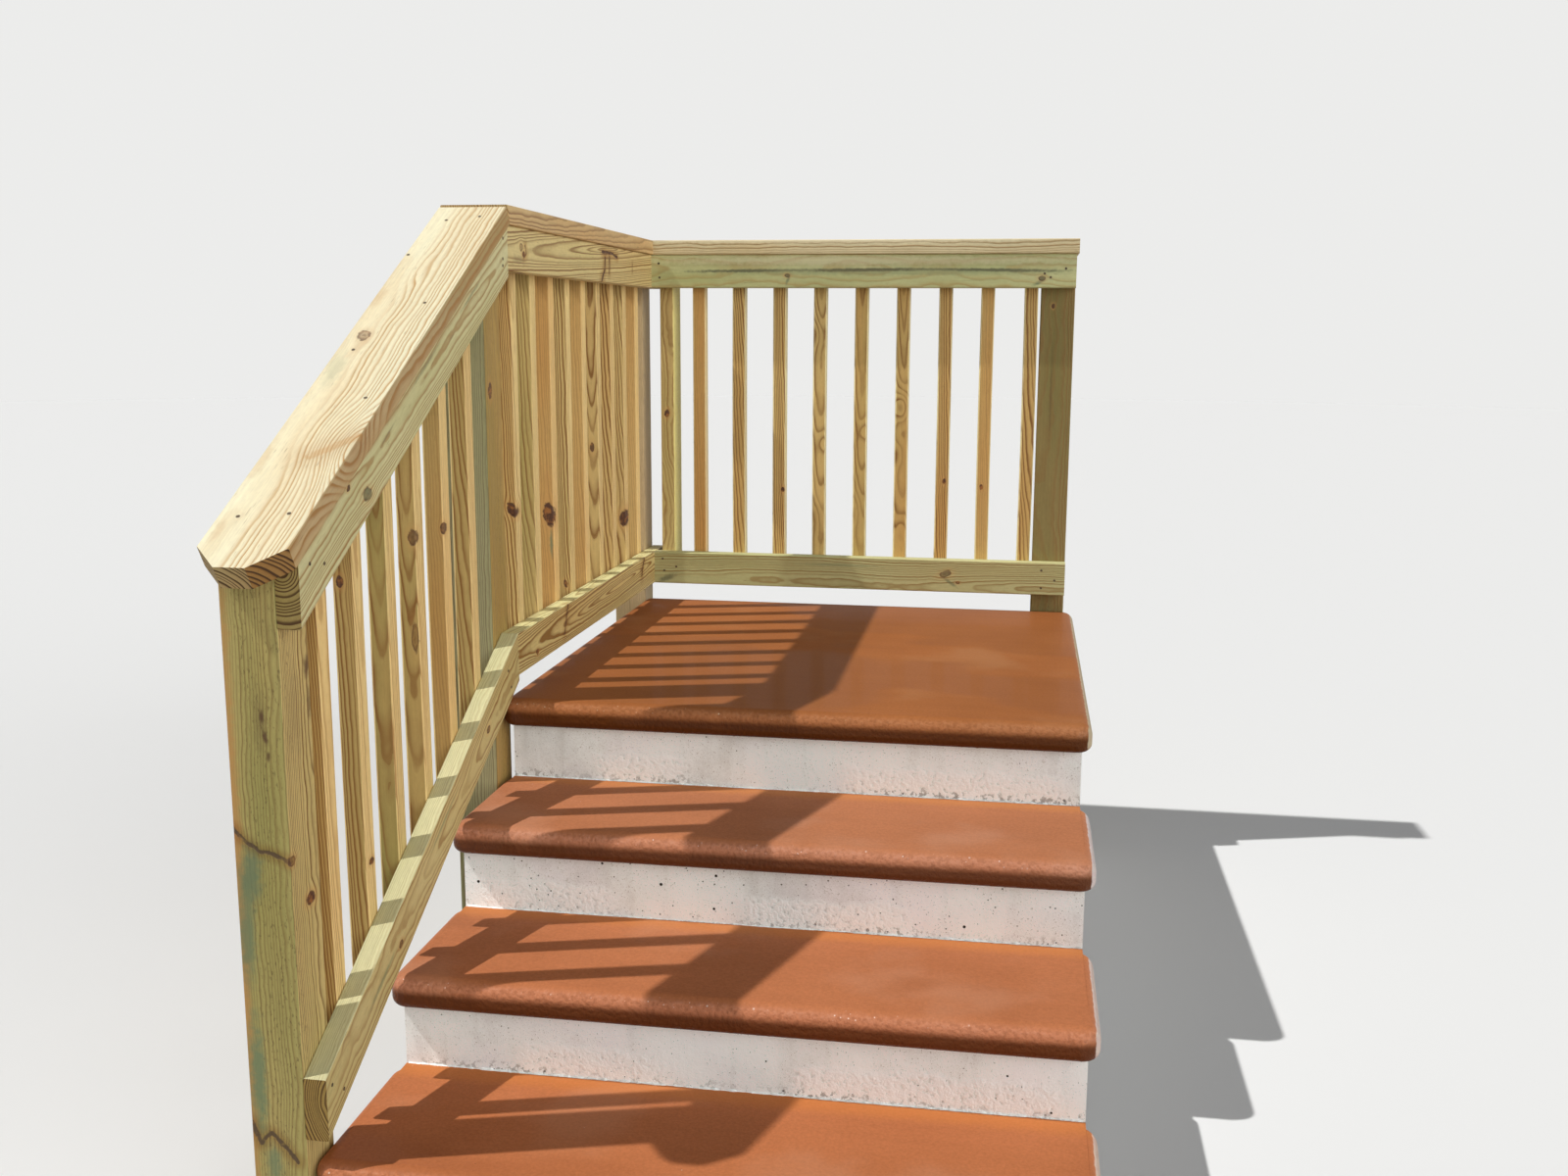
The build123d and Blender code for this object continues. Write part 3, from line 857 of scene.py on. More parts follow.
@dataclass
class Run:
    """One run of balusters: how many stand along which axis, how each stick looks, and how
    fast the lines that its ends are cut to climb.  The places of its spots are z, x and y.
    """

    node: str
    count: int
    axis: int
    ambers: tuple
    olives: tuple
    piths: tuple
    knots: tuple
    seed: int
    tint: tuple
    # Tint of the door side and the outer corner of each stick: painted light
    lit_side_tint: tuple
    foot_fall: float = 0.0
    head_fall: float = 0.0
    swirls: tuple = ()
    stains: tuple = ()

    def __post_init__(self):
        """Read the pitch and the first stick's ends from the node's box."""
        self.low, self.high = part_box(self.node)
        self.ahead = Vector((0, 0, 0))
        self.ahead[self.axis] = 1
        span = self.high[self.axis] - self.low[self.axis] - stick_side
        self.step = self.ahead * (span / (self.count - 1))
        self.foot = self.low.z + self.foot_fall * stick_side / 2
        self.head = self.high.z - self.head_fall * (self.step.length * (self.count - 1) + stick_side / 2)


# Where a stick lay from the pith, across and through, and how strong its lines are.
# Beside the pith the lines run straight, and over it they arch.
straight, slanted, arched = (0.045, 0.008, 1.3), (0.030, 0.030, 1.3), (0.003, 0.012, 1.45)
faint_arch, plain = (0.004, 0.014, 1.05), (0.050, 0.012, 0.40)

runs = (
    Run("stair_balusters", count=6, axis=1, foot_fall=low_fall, head_fall=rise / going,
        ambers=(0.5, 0.3, 0.3, 0.28, 0.5, 0.25),
        olives=(0.0, 0.15, 0.46, 0.16, 0.0, 0.3),
        piths=(straight, straight, faint_arch, arched, plain, slanted),
        knots=(Spot((1.045, -0.583, -0.812), 0.006), Spot((1.083, -0.566, -0.557), 0.0075, 1.8, dark=0.6),
               Spot((0.9, -0.568, -0.557), 0.006, 4.0, dark=0.15),
               Spot((1.082, -0.559, -0.43), 0.0065, dark=0.8), Spot((0.566, -0.5587, -0.791), 0.004)),
        seed=3, tint=(0.62, 0.6, 0.48), lit_side_tint=(1.75, 1.85, 2.3)),
    Run("side_balusters", count=9, axis=1, ambers=(0.22, 0.15, 0.62, 0.15, 0.46, 0.28, 0.32, 0.25, 0.5),
        olives=(0.06, 0.42, 0.0, 0.18, 0.0, 0.06, 0.05, 0.05, 0.0),
        piths=(straight, (0.03, 0.03, 0.8), plain, straight, plain, arched, slanted, slanted, plain),
        knots=(Spot((1.069, -0.568, -0.031), 0.0095, 1.6, turn=-32),
               Spot((1.028, -0.57, 0.219), 0.0125, 1.9, turn=-8),
               Spot((1.153, -0.5765, 0.594), 0.005, 2.4, dark=0.8),
               Spot((0.844, -0.573, 0.344), 0.005, 1.8, turn=-20, dark=0.8),
               Spot((0.942, -0.5625, 0.847), 0.0125, 1.7, turn=10)),
        seed=5, tint=(0.8, 0.77, 0.66), lit_side_tint=(1.4, 1.5, 1.75),
        stains=(Spot((0.965, -0.566, 0.219), 0.0045, 9.0, dark=0.75, green=0.9),
                Spot((1.1, -0.572, 0.219), 0.006, 8.0, dark=0.35, green=-1))),
    Run("back_balusters", count=9, axis=0, ambers=(0.66, 0.36, 0.3, 0.14, 0.38, 0.5, 0.5, 0.46, 0.36),
        olives=(0.0, 0.18, 0.02, 0.0, 0.26, 0.2, 0.0, 0.0, 0.14),
        piths=(plain, slanted, straight, faint_arch, faint_arch, faint_arch, straight, plain, slanted),
        knots=(Spot((1.007, -0.158, 1.0443), 0.0045, 1.6), Spot((1.039, 0.292, 1.0443), 0.0045, 1.6),
               Spot((1.026, 0.395, 1.0443), 0.005, 1.4)),
        seed=9, tint=(0.8, 0.78, 0.66), lit_side_tint=(1.45, 1.8, 2.7),
        swirls=(Spot((1.241, 0.172, 1.0443), 0.0115, 2.2, swell=1.6),
                Spot((1.112, 0.166, 1.0443), 0.009, 2.4), Spot((0.89, 0.176, 1.0443), 0.01, 3.0),
                Spot((1.173, 0.068, 1.0443), 0.009, 1.7), Spot((0.96, 0.05, 1.0443), 0.009, 3.2),
                Spot((1.138, -0.046, 1.0443), 0.009, 2.0), Spot((1.44, -0.064, 1.0443), 0.01, 2.4),
                Spot((0.93, -0.062, 1.0443), 0.008, 3.0))),
)


def stick_material(run):
    """Pine whose place in the log is stored on each stick, so that no two sticks match."""
    # Painted light: the door side gets a paler tint so that it reads brighter than the front, and the
    # rounded outer corner a paler tint as a painted highlight
    sides = (Side(door_side, amber=-0.22, olive=-0.25, tint=run.lit_side_tint, start=0.62, lines=0.6),
             Side(outer_corner, amber=-0.3, olive=-0.3, tint=run.lit_side_tint, start=0.76, lines=0.6))
    board = Board(run.node, up, sideways, drift=(0.006, 0.045), ring=0.66, sway=0.42, flat=0.6,
                  knots=run.knots, swirls=run.swirls, stains=run.stains, sides=sides, tint=run.tint,
                  seed=float(run.seed))
    finish = Finish(run.node + "_pine")
    place = finish.attribute("log_place", 1)
    names = ("pith_across", "pith_through", "lines", "amber", "olive")
    across, through, *tones = (finish.attribute(name, 2) for name in names)
    x, y, z = finish.where.parts()
    seed = finish.attribute("number", 2) * 13.7 + board.seed
    return wood_surface(finish, board, place, (across, through), *tones, finish.point(z, x, y), seed)


stick_rings, corner_steps = 19, 3


def build_stick_run(run):
    """Grow one run of sticks with Geometry Nodes and cut their ends to the rails' lines."""
    sticks = bpy.context.scene.sticks
    first = Vector((run.low.x, run.low.y, 0.0)) + Vector((stick_side, stick_side, 0.0)) / 2
    recipe = Recipe(run.node + "_recipe")
    start, pitch = recipe.inputs("Vector", {"First stick": first, "Pitch": run.step})
    count, seed = recipe.inputs("Int", {"Sticks": run.count, "Seed": sticks.seed + run.seed})
    side, eased, bow, twist = recipe.inputs("Float", {
        "Side": stick_side, "Eased edge": sticks.eased, "Bow": sticks.bow, "Twist": sticks.twist})
    foot_height, head_height, foot_fall, head_fall = recipe.inputs("Float", {
        "Foot height": run.foot, "Head height": run.head, "Foot fall": run.foot_fall,
        "Head fall": run.head_fall})

    # One stick of unit height, square with eased edges
    line = recipe.make("CurvePrimitiveLine", {"Start": (0, 0, 0), "End": (0, 0, 1)})
    line = recipe.make("ResampleCurve", {"Curve": line, "Count": stick_rings})
    square = recipe.make("CurvePrimitiveQuadrilateral", {"Width": side, "Height": side})
    square = recipe.make("FilletCurve", {"Curve": square, "Count": corner_steps, "Radius": eased},
                         mode="POLY")
    stick = recipe.make("CurveToMesh", {"Curve": line, "Profile Curve": square, "Fill Caps": True})
    stick = recipe.make("SetShadeSmooth", {"Geometry": stick, "Shade Smooth": False})

    # The sticks in their row, each with its own number
    dots = recipe.make("MeshLine", {"Count": count, "Start Location": start, "Offset": pitch})
    turn = recipe.add("FunctionNodeRandomValue", {"data_type": "FLOAT"},
                      {2: twist * -1.0, 3: twist, "Seed": seed}, output=1)
    row = recipe.make("InstanceOnPoints",
                      {"Points": dots, "Instance": stick, "Rotation": recipe.point(0.0, 0.0, turn)})
    row = recipe.make("StoreNamedAttribute",
                      {"Geometry": row, "Name": "number", "Value": recipe.make("InputIndex")},
                      data_type="FLOAT", domain="INSTANCE")
    row = recipe.make("RealizeInstances", (row,))

    # Bow, and ends cut to the slope
    own = recipe.make("InputNamedAttribute", {"Name": "number"}, data_type="FLOAT")
    here = recipe.make("InputPosition")
    x, y, z = here.parts()
    bulge = (z * (tau / 2)).sine() * bow
    along = (recipe.chance(own * 3.7 + seed) - 0.5) * 2
    inward = recipe.chance(own * 5.1 + seed)
    ahead = run.ahead
    run_on = (here - start).dot(tuple(ahead))
    foot_now = foot_height + foot_fall * run_on
    head_now = head_height + head_fall * run_on
    bowed = recipe.point(x - bulge * ahead.y * inward + bulge * ahead.x * along,
                         y + bulge * ahead.x * inward + bulge * ahead.y * along,
                         foot_now + (head_now - foot_now) * z)
    row = recipe.make("SetPosition", {"Geometry": row, "Position": bowed})

    # Where each stick lay in its log, from the stick's own middle
    off_x, off_y, log_z = (recipe.make("InputPosition") - start - pitch * own).parts()
    middle_height = foot_height + head_height + (foot_fall + head_fall) * (pitch * own).reach()
    log_place = recipe.point(log_z - middle_height * 0.5, off_x, off_y)
    row = recipe.make("StoreNamedAttribute",
                      {"Geometry": row, "Name": "log_place", "Value": log_place},
                      data_type="FLOAT_VECTOR", domain="POINT")
    recipe.finish(row, stick_material(run))
    piece = recipe.grow(run.node + "_sticks")
    tone_sticks(piece.data, run)
    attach(piece, body)
    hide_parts(run.node)
    return piece


def tone_sticks(mesh, run):
    """Write each stick's own tones and place in the log on its points."""
    numbers = [0.0] * len(mesh.vertices)
    mesh.attributes["number"].data.foreach_get("value", numbers)
    across, through, lines = zip(*run.piths)
    lists = {"amber": run.ambers, "olive": run.olives, "pith_across": across, "pith_through": through,
             "lines": lines}
    for name, values in lists.items():
        made = mesh.attributes.new(name, "FLOAT", "POINT")
        made.data.foreach_set("value", [values[int(number + 0.5)] for number in numbers])


# Screws

side_screws = ((0.545, 0.022), (0.56, -0.024))

# A node, the ways along and across it, the way its screws face, and their places
screw_rows = (
    ("stair_cap", uphill(slope), leftwards, off_slope(slope),
     ((-0.446, 0.038), (-0.436, -0.037), (-0.128, -0.038), (0.181, -0.032), (0.520, -0.028),
      (0.505, 0.035), (0.362, 0.0625), (0.02, 0.04))),
    ("stair_top_rail", uphill(slope), off_slope(slope), sideways,
     ((-0.478, 0.018), (-0.4425, -0.0104), (0.5173, 0.034), (0.4946, 0.0015), (0.4871, -0.0094))),
    ("stair_bottom_rail", uphill(low_slope), off_slope(low_slope), sideways,
     ((-0.49, 0.02), (-0.47, -0.022), (0.46, 0.02), (0.455, -0.02))),
    ("side_top_rail", level, up, sideways, side_screws),
    ("side_bottom_rail", level, up, sideways, side_screws),
    ("back_top_rail", sideways, up, front,
     ((-0.554, 0.021), (-0.552, -0.017), (0.547, 0.0055), (0.508, -0.017), (0.492, -0.007))),
    ("back_bottom_rail", sideways, up, front,
     ((-0.551, 0.0255), (-0.546, -0.008), (-0.5115, 0.004), (0.511, 0.024), (0.547, -0.003),
      (0.511, -0.025))),
    ("side_cap", sideways, level, up,
     ((0.03, -0.60), (-0.028, -0.585), (0.034, -0.2), (-0.03, 0.15), (0.03, 0.5))),
    ("back_cap", sideways, level, up,
     ((-0.5, 0.03), (-0.49, -0.03), (-0.1, 0.028), (0.2, -0.03), (0.6, 0.03), (0.59, -0.03))),
)


def screw_places():
    """Each screw's place and the way its head faces."""
    places = []
    for node, along_way, across_way, way, spots in screw_rows:
        face = Vector(way)
        for along, across in spots:
            place = middle(node) + Vector(along_way) * along + Vector(across_way) * across
            places.append((place + face * half_board, face))
    for run in runs:
        places += stick_screw_places(run)
    return places


# Where a baluster's screws sit: in depths of a rail up from its foot and down from its head,
# and in sides of the baluster off its middle
foot_screws, head_screws, off_middle = (0.28, 0.68), (0.30, 0.72), (-0.10, 0.12)


def stick_screw_places(run):
    """The screws through each baluster into the upper and the lower rail."""
    half_stick = stick_side / 2
    outward = Vector((-run.ahead.y, run.ahead.x, 0))
    outer = (run.low.x + half_stick, run.high.y, 0)
    if run.ahead.y:
        outer = (run.low.x, run.low.y + half_stick, 0)
    places = []
    for number in range(run.count):
        foot = run.foot + run.foot_fall * run.step.length * number
        head = run.head + run.head_fall * run.step.length * number
        heights = [foot + board_depth * share_up for share_up in foot_screws]
        heights += [head - board_depth * share_down for share_down in head_screws]
        for height in heights:
            shift = run.ahead * stick_side * off_middle[(number + int(height * 100)) % 2]
            place = Vector(outer) + run.step * number + shift + Vector((0, 0, height))
            places.append((place, outward))
    return places


def screw_material():
    """A dull coated head with specks of brown."""
    screws = bpy.context.scene.screws
    finish = Finish("screw_metal")
    grime = finish.noise(finish.where, scale=420.0)
    base = finish.blend(grime.fade(0.35, 0.7), screws.metal, (0.16, 0.11, 0.06))
    return finish.surface(base, 0.5 + grime * 0.3, grime, depth=0.0003)


# Shares of a head: its recess's width and depth, and how much of it stands on a level cap
head_sides, recess_width, recess_depth, flush_stand = 14, 0.46, 0.85, 0.04


def build_screws():
    """Set a recessed head at every screw's place, and a flush one on the level caps."""
    screws = bpy.context.scene.screws
    places = screw_places()
    start = bpy.data.meshes.new("screw_places")
    start.from_pydata([place for place, _ in places], [], [])
    facing = start.attributes.new("facing", "FLOAT_VECTOR", "POINT")
    facing.data.foreach_set("vector", [number for _, way in places for number in way])

    recipe = Recipe("screw_recipe")
    width, stand = recipe.inputs("Float", {"Head width": screws.width, "Stand": screws.stand})
    disc = recipe.make("MeshCircle", {"Vertices": head_sides, "Radius": width * 0.5}, fill_type="NGON")
    head = recipe.extrude(disc, True, stand)
    rim = recipe.extrude(head, head.other("Top"), 0.0)
    names = {"Geometry": rim, "Selection": rim.other("Top"), "Scale": recess_width}
    hollow = recipe.make("ScaleElements", names, domain="FACE")
    cup = recipe.extrude(hollow, rim.other("Top"), stand * -recess_depth)
    way = recipe.make("InputNamedAttribute", {"Name": "facing"}, data_type="FLOAT_VECTOR")
    turned = recipe.add("FunctionNodeAlignRotationToVector", {"axis": "Z"}, {"Vector": way})
    tall = way.parts()[2].fade(1.0, 0.99) * (1 - flush_stand) + flush_stand
    heads = recipe.make("InstanceOnPoints", {"Points": recipe.geometry(), "Instance": cup,
                                             "Rotation": turned,
                                             "Scale": recipe.point(1.0, 1.0, tall)})
    recipe.finish(heads, screw_material())
    piece = recipe.grow("screw_heads", start)
    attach(piece, body)
    return piece


# Painted concrete

tread_tone = {"tread_1": (1.01, 0.96, 0.90), "tread_2": (0.99, 0.99, 1.00), "tread_3": (0.96, 1.03, 1.13),
              "landing": (0.76, 0.77, 0.61)}

dusty_paint, dry_paint = (0.62, 0.32, 0.20), (0.64, 0.235, 0.060)
painted_sunlit_paint, painted_lump_highlight = (0.72, 0.33, 0.22), (0.85, 0.50, 0.36)
painted_glint, crumb = (1.0, 0.86, 0.76), (0.72, 0.56, 0.46)
bare_tint = (0.78, 0.60, 0.52)


def tread_material(node):
    """Thick masonry paint: stippled on the nosing, smoother and partly wet on the flat."""
    paint = bpy.context.scene.paint
    finish = Finish(node + "_paint")
    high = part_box(node)[1]
    seed = high.z * 7
    wet_share = 0.62 if node == "landing" else 0.30
    x, y, z = finish.where.parts()
    place = finish.where + (seed, seed, 0.0)

    ragged = (finish.noise(place, detail=3.0, scale=60.0) - 0.5) * 0.010
    drop = high.z - z
    nose = drop.fade(0.0010, 0.010)
    painted_nosing_shade = (drop + ragged * 0.4).fade(0.016, 0.033)

    # Water lies in wide shallow pools on the flat
    pools = finish.noise(finish.point(x * 1.5 + seed, y * 2.6, z * 3))
    film = (pools + (wet_share - 0.5) * 0.55).fade(0.50, 0.56) * (1 - nose)
    brushed = finish.noise(finish.point(x * 3, y * 46, z * 46), detail=3.0)
    thick, dusty, _ = finish.noise(place, detail=4.0, scale=4.0, output=1).parts()
    mottle = finish.noise(place, detail=4.0, rough=0.75, scale=170.0)

    # Orange peel on the flat and deeper lumps on the nosing; glints of sun on the nosing are painted into
    # the colour
    fine = finish.noise(place, scale=260.0)
    coarse = finish.noise(place, scale=125.0)
    crumbs = finish.pores(place, 0.060, 0.35, 0.0008, 0.0022)
    dents = finish.pores(place + (1.7, 4.1, 0.0), 0.070, 0.30, 0.0008, 0.0020)
    # The sunlit top of the nosing, where light and glints are painted
    painted_sun_band = nose * drop.fade(0.020, 0.006)
    painted_sparkle = finish.pores(place + (0.9, 2.3, 0.0), 0.0085, 0.50, 0.0009, 0.0021)
    height = coarse * (nose * 1.5 + 0.10) + fine * (0.14 + nose * 0.15) + crumbs * 0.4 - dents * 0.5

    # The strip beside the door side was never painted
    bare = (x + ragged * 0.6 - (high.x - paint.bare_edge)).fade(-0.0012, 0.0012)
    bare_grain = finish.noise(place, detail=4.0, scale=90.0)
    bare_colour = finish.blend(bare_grain.fade(0.35, 0.65), paint.blush, paint.riser)

    base = finish.blend((thick - 0.5) * 0.6 + wet_share * 0.15, paint.tread, paint.deep)
    base = finish.layers(
        finish.tone(base, 0.64 + brushed * 0.12 + mottle * 0.60),
        (film * 0.20, paint.deep),
        (dusty.fade(0.50, 0.70) * (1 - film) * 0.30, dusty_paint),
        # Painted shade on the lower half of the nosing, which faces down and away from the light
        (painted_nosing_shade * 0.92, finish.tone(paint.deep, 0.50)),
        # Painted light: a sunlit band along the top of the nosing
        (nose * drop.fade(0.030, 0.012) * 0.22, painted_sunlit_paint),
        # Painted highlights of sun on the nosing's lumps
        (coarse.fade(0.50, 0.66) * painted_sun_band * 0.12, painted_lump_highlight),
        # Painted shade between the nosing's lumps
        (coarse.fade(0.50, 0.38) * nose * 0.22, finish.tone(paint.deep, 0.8)),
        # Painted glints of sun on wet drops along the top of the nosing
        (painted_sparkle * painted_sun_band * pools.fade(0.44, 0.56) * 0.9, painted_glint),
        (crumbs, crumb),
        (dents * 0.8, paint.pore),
        (bare, finish.tone(bare_colour, bare_tint)))

    # The paint is brighter along the riser, and riser paint has run on to it
    back = riser_above(node)
    if back is not None:
        dry = (back - y + ragged * 2).fade(0.060, 0.020) * (1 - nose)
        spill = (y + ragged * 0.45 - back).fade(-0.0042, -0.0022) * (back + 0.001 - y).fade(0.0, 0.0005)
        base = finish.layers(base, (dry * 0.45, dry_paint), (spill * thick.fade(0.42, 0.55), paint.riser))
    base = finish.tone(base, tread_tone[node])
    roughness = 0.58 - film * 0.10 - nose * 0.24 + bare * 0.35
    coat = (film * 0.035 + nose * 0.12) * (1 - bare)
    gloss = 0.02 if node == "landing" else 0.04
    height = height + bare_grain * bare * 0.5
    return finish.surface(base, roughness, height, paint.stipple, gloss, coat, coat_roughness=0.09)


def riser_above(node):
    """The front face of the riser that stands on a tread, or None on the landing."""
    number = treads.index(node) + 1
    if number >= len(risers):
        return None
    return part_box(risers[number])[0].y


# Where the cast is rough along a riser's foot, from and to in x; there sunlight and shade are painted on
# its lumps
sunlit_rough_spans = {"riser_1": ((-0.30, 0.25),), "riser_2": ((-0.36, -0.06), (0.12, 0.62)),
               "riser_3": ((-0.54, -0.22), (-0.02, 0.34)), "riser_4": ((-0.39, -0.14), (0.14, 0.62))}
riser_tone = {"riser_1": 1.03, "riser_2": 1.05, "riser_3": 1.02, "riser_4": 0.98}
painted_sun_white = (0.95, 1.0, 1.0)


def riser_material(node):
    """Thin white masonry paint over pitted concrete."""
    paint = bpy.context.scene.paint
    finish = Finish(node + "_paint")
    low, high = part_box(node)
    seed = low.y * 5
    x, y, z = finish.where.parts()
    place = finish.where + (seed, 0.0, seed)

    rosy, greyish, _ = finish.noise(place, detail=5.0, rough=0.6, scale=3.6, output=1).parts()
    grit = finish.noise(place, detail=3.0, rough=0.75, scale=270.0)
    lumps = finish.noise(place, detail=3.0, rough=0.6, scale=110.0)
    runs_down = finish.noise(finish.point(x * 30 + seed, y * 4, z * 3), detail=3.0)
    dirt = greyish.fade(0.44, 0.68) * 0.36 + runs_down.fade(0.5, 0.75) * 0.18
    base = finish.layers(paint.riser, (rosy.fade(0.45, 0.66) * 0.7, paint.blush), (dirt, paint.grime))
    base = finish.tone(base, (grit * 0.64 + 0.77) * riser_tone[node])

    # Low on the riser, patches of the cast are rough. Grazing sunlight on their lumps is painted as a
    # brighter white, and the shade between the lumps is painted darker.
    patches = 0.0
    for start, end in sunlit_rough_spans[node]:
        patches = (x - start).fade(0.0, 0.05) * (end - x).fade(0.0, 0.05) + patches
    ragged_top = finish.noise(finish.point(x * 14 + seed, 0.0, 0.0)) * 0.05
    rough = (z - low.z - ragged_top).fade(0.040, 0.022) * patches

    # Open pores, and a chipped band along the foot
    worn = finish.noise(finish.point(x * 5 + seed, 0.0, z * 5)).fade(0.35, 0.65)
    foot = (z - low.z + (lumps - 0.5) * 0.03).fade(0.020, 0.002) * worn
    pinholes = finish.pores(place + (0.0, 0.0, 5.3), 0.014, 0.50, 0.0006, 0.0022)
    few = finish.pores(place, 0.036, 0.34, 0.0009, 0.0040)
    many = finish.pores(place + (3.1, 0.0, 1.7), 0.014, 0.60, 0.0008, 0.0042) * foot
    holes = few.most(many).most(pinholes * 0.8)

    # Tread paint runs over the top edge
    ragged = finish.noise(finish.point(x * 70 + seed, 0.0, 0.0), detail=3.0) - 0.5
    over = (high.z - z + ragged * 0.011).fade(0.0042, 0.0026)
    base = finish.layers(
        base,
        (grit.fade(0.57, 0.67) * 0.85, paint.grime),
        # Painted sunlight on the lumps of the rough patches
        (rough * (lumps.fade(0.36, 0.56) * 0.7 + 0.3), finish.tone(painted_sun_white, 1.08)),
        # Painted shade between the lumps of the rough patches, in the grime colour
        (rough * lumps.fade(0.42, 0.32) * 0.35, paint.grime),
        (foot * lumps.fade(0.52, 0.42) * 0.75, finish.tone(paint.grime, 0.7)),
        (holes, paint.pore),
        (over, paint.deep))
    height = lumps * 0.6 + grit * 0.35 - holes * 1.6 + foot * lumps * 0.8 + rough * lumps * 1.8
    return finish.surface(base, 0.82 - over * 0.3, height, depth=0.0012, gloss=0.2)


# Height of one lift of the form
form_lift = 0.2


def wall_material(node):
    """Bare cast concrete: board marks, clouds and pores."""
    paint = bpy.context.scene.paint
    finish = Finish(node + "_concrete")
    x, y, z = finish.where.parts()
    dark, pale, hilly = finish.noise(finish.where, detail=5.0, rough=0.6, scale=2.6, output=1).parts()
    grit = finish.noise(finish.where, detail=4.0, rough=0.7, scale=160.0)
    stain = finish.noise(finish.point(x * 9, y * 9, z * 1.2), detail=3.0)
    damp = (z + (stain - 0.5) * 0.12).fade(0.13, 0.02)
    holes = finish.pores(finish.where, 0.030, 0.45, 0.0008, 0.0032)
    base = finish.layers(paint.bare, (dark.fade(0.35, 0.7) * 0.6, paint.grime),
                         (pale.fade(0.5, 0.75) * 0.35, paint.riser))
    base = finish.blend(stain.fade(0.55, 0.8) * 0.3, finish.tone(base, 0.86 + grit * 0.28), paint.grime)
    base = finish.blend(holes, finish.tone(base, 1 - damp * 0.35), paint.pore)

    # A board mark at every lift of the form
    lift = (z / form_lift).fraction()
    seam = lift.fade(0.02, 0.0).most(lift.fade(0.98, 1.0))
    height = grit * 0.4 + hilly * 0.5 - holes * 1.6 - seam * 0.5
    return finish.surface(base, 0.88, height, depth=0.0012)


def bead_material():
    """Riser paint left thick where a riser meets the tread."""
    paint = bpy.context.scene.paint
    finish = Finish("paint_line")
    grain = finish.noise(finish.where, detail=3.0, scale=180.0)
    patch = finish.noise(finish.where, scale=14.0)
    bright = finish.tone(paint.riser, (1.16, 1.18, 1.18))
    base = finish.blend(grain.fade(0.60, 0.42) * patch.fade(0.35, 0.6) * 0.5, bright, paint.grime)
    return finish.surface(base, 0.6, grain, depth=0.0008)


bead_inset, bead_step, bead_sides = 0.004, 0.0022, 6
bead_wander_out, bead_wander_up = 0.0030, 0.0028


def build_paint_lines():
    """A ragged bead of paint along the foot of each riser that stands on a tread."""
    paint = bpy.context.scene.paint
    start = bpy.data.meshes.new("paint_line_starts")
    points = []
    for riser, tread in zip(risers[1:], treads):
        low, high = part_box(riser)
        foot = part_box(tread)[1].z
        points += [(low.x + bead_inset, low.y, foot), (high.x - bead_inset, low.y, foot)]
    start.from_pydata(points, [(index, index + 1) for index in range(0, len(points), 2)], [])

    recipe = Recipe("paint_line_recipe")
    radius, gap = recipe.inputs("Float", {"Radius": paint.bead, "Spacing": bead_step})
    line = recipe.make("MeshToCurve", {"Mesh": recipe.geometry()})
    line = recipe.make("ResampleCurve", {"Curve": line, "Length": gap}, mode="LENGTH")
    here = recipe.make("InputPosition")
    _, along_y, along_z = recipe.noise(here, detail=3.0, output=1, scale=85.0).parts()
    shift = recipe.point(0.0, (along_y - 0.55) * bead_wander_out, (along_z - 0.5) * bead_wander_up)
    line = recipe.make("SetPosition", {"Geometry": line, "Offset": shift})
    lumps = recipe.noise(here, detail=3.0, rough=0.7, scale=52.0)
    worn = recipe.noise(here + (5.0, 2.0, 0.0), detail=1.0, scale=6.0)
    thick = (lumps.fade(0.32, 0.72) * 1.1 + 0.25) * (worn.fade(0.30, 0.52) * 0.75 + 0.3)
    ring = recipe.make("CurvePrimitiveCircle", {"Resolution": bead_sides, "Radius": radius})
    bead = recipe.make("CurveToMesh", {"Curve": line, "Profile Curve": ring, "Scale": thick,
                                       "Fill Caps": True})
    bead = recipe.make("SetShadeSmooth", {"Geometry": bead, "Shade Smooth": True})
    recipe.finish(bead, bead_material())
    piece = recipe.grow("paint_lines", start)
    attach(piece, body)
    return piece


# Stage

floor_sides = 96


def build_floor():
    """A wide round floor that the camera sees pale and the light sees grey."""
    studio = bpy.context.scene.studio
    mesh = bpy.data.meshes.new("floor")
    disc = bmesh.new()
    bmesh.ops.create_circle(disc, cap_ends=True, radius=studio.reach, segments=floor_sides)
    disc.to_mesh(mesh)
    disc.free()
    floor = add_object("floor", mesh)
    finish = Finish("floor_plain")
    eye = finish.add("ShaderNodeLightPath")
    shown = eye.most(eye.other("Is Glossy Ray"))
    base = finish.blend(shown, studio.bounce, studio.floor)
    shader = finish.add("ShaderNodeBsdfDiffuse", {}, {"Color": base})
    finish.add("ShaderNodeOutputMaterial", {}, {"Surface": shader})
    mesh.materials.append(finish.material)


key_from = (-0.53, -0.155, 0.834)
fill_from = (0.78, -0.62, 0.04)
fill_spread = radians(80)
key_tint, fill_tint = (1.0, 0.975, 0.93), (1.0, 0.99, 0.97)


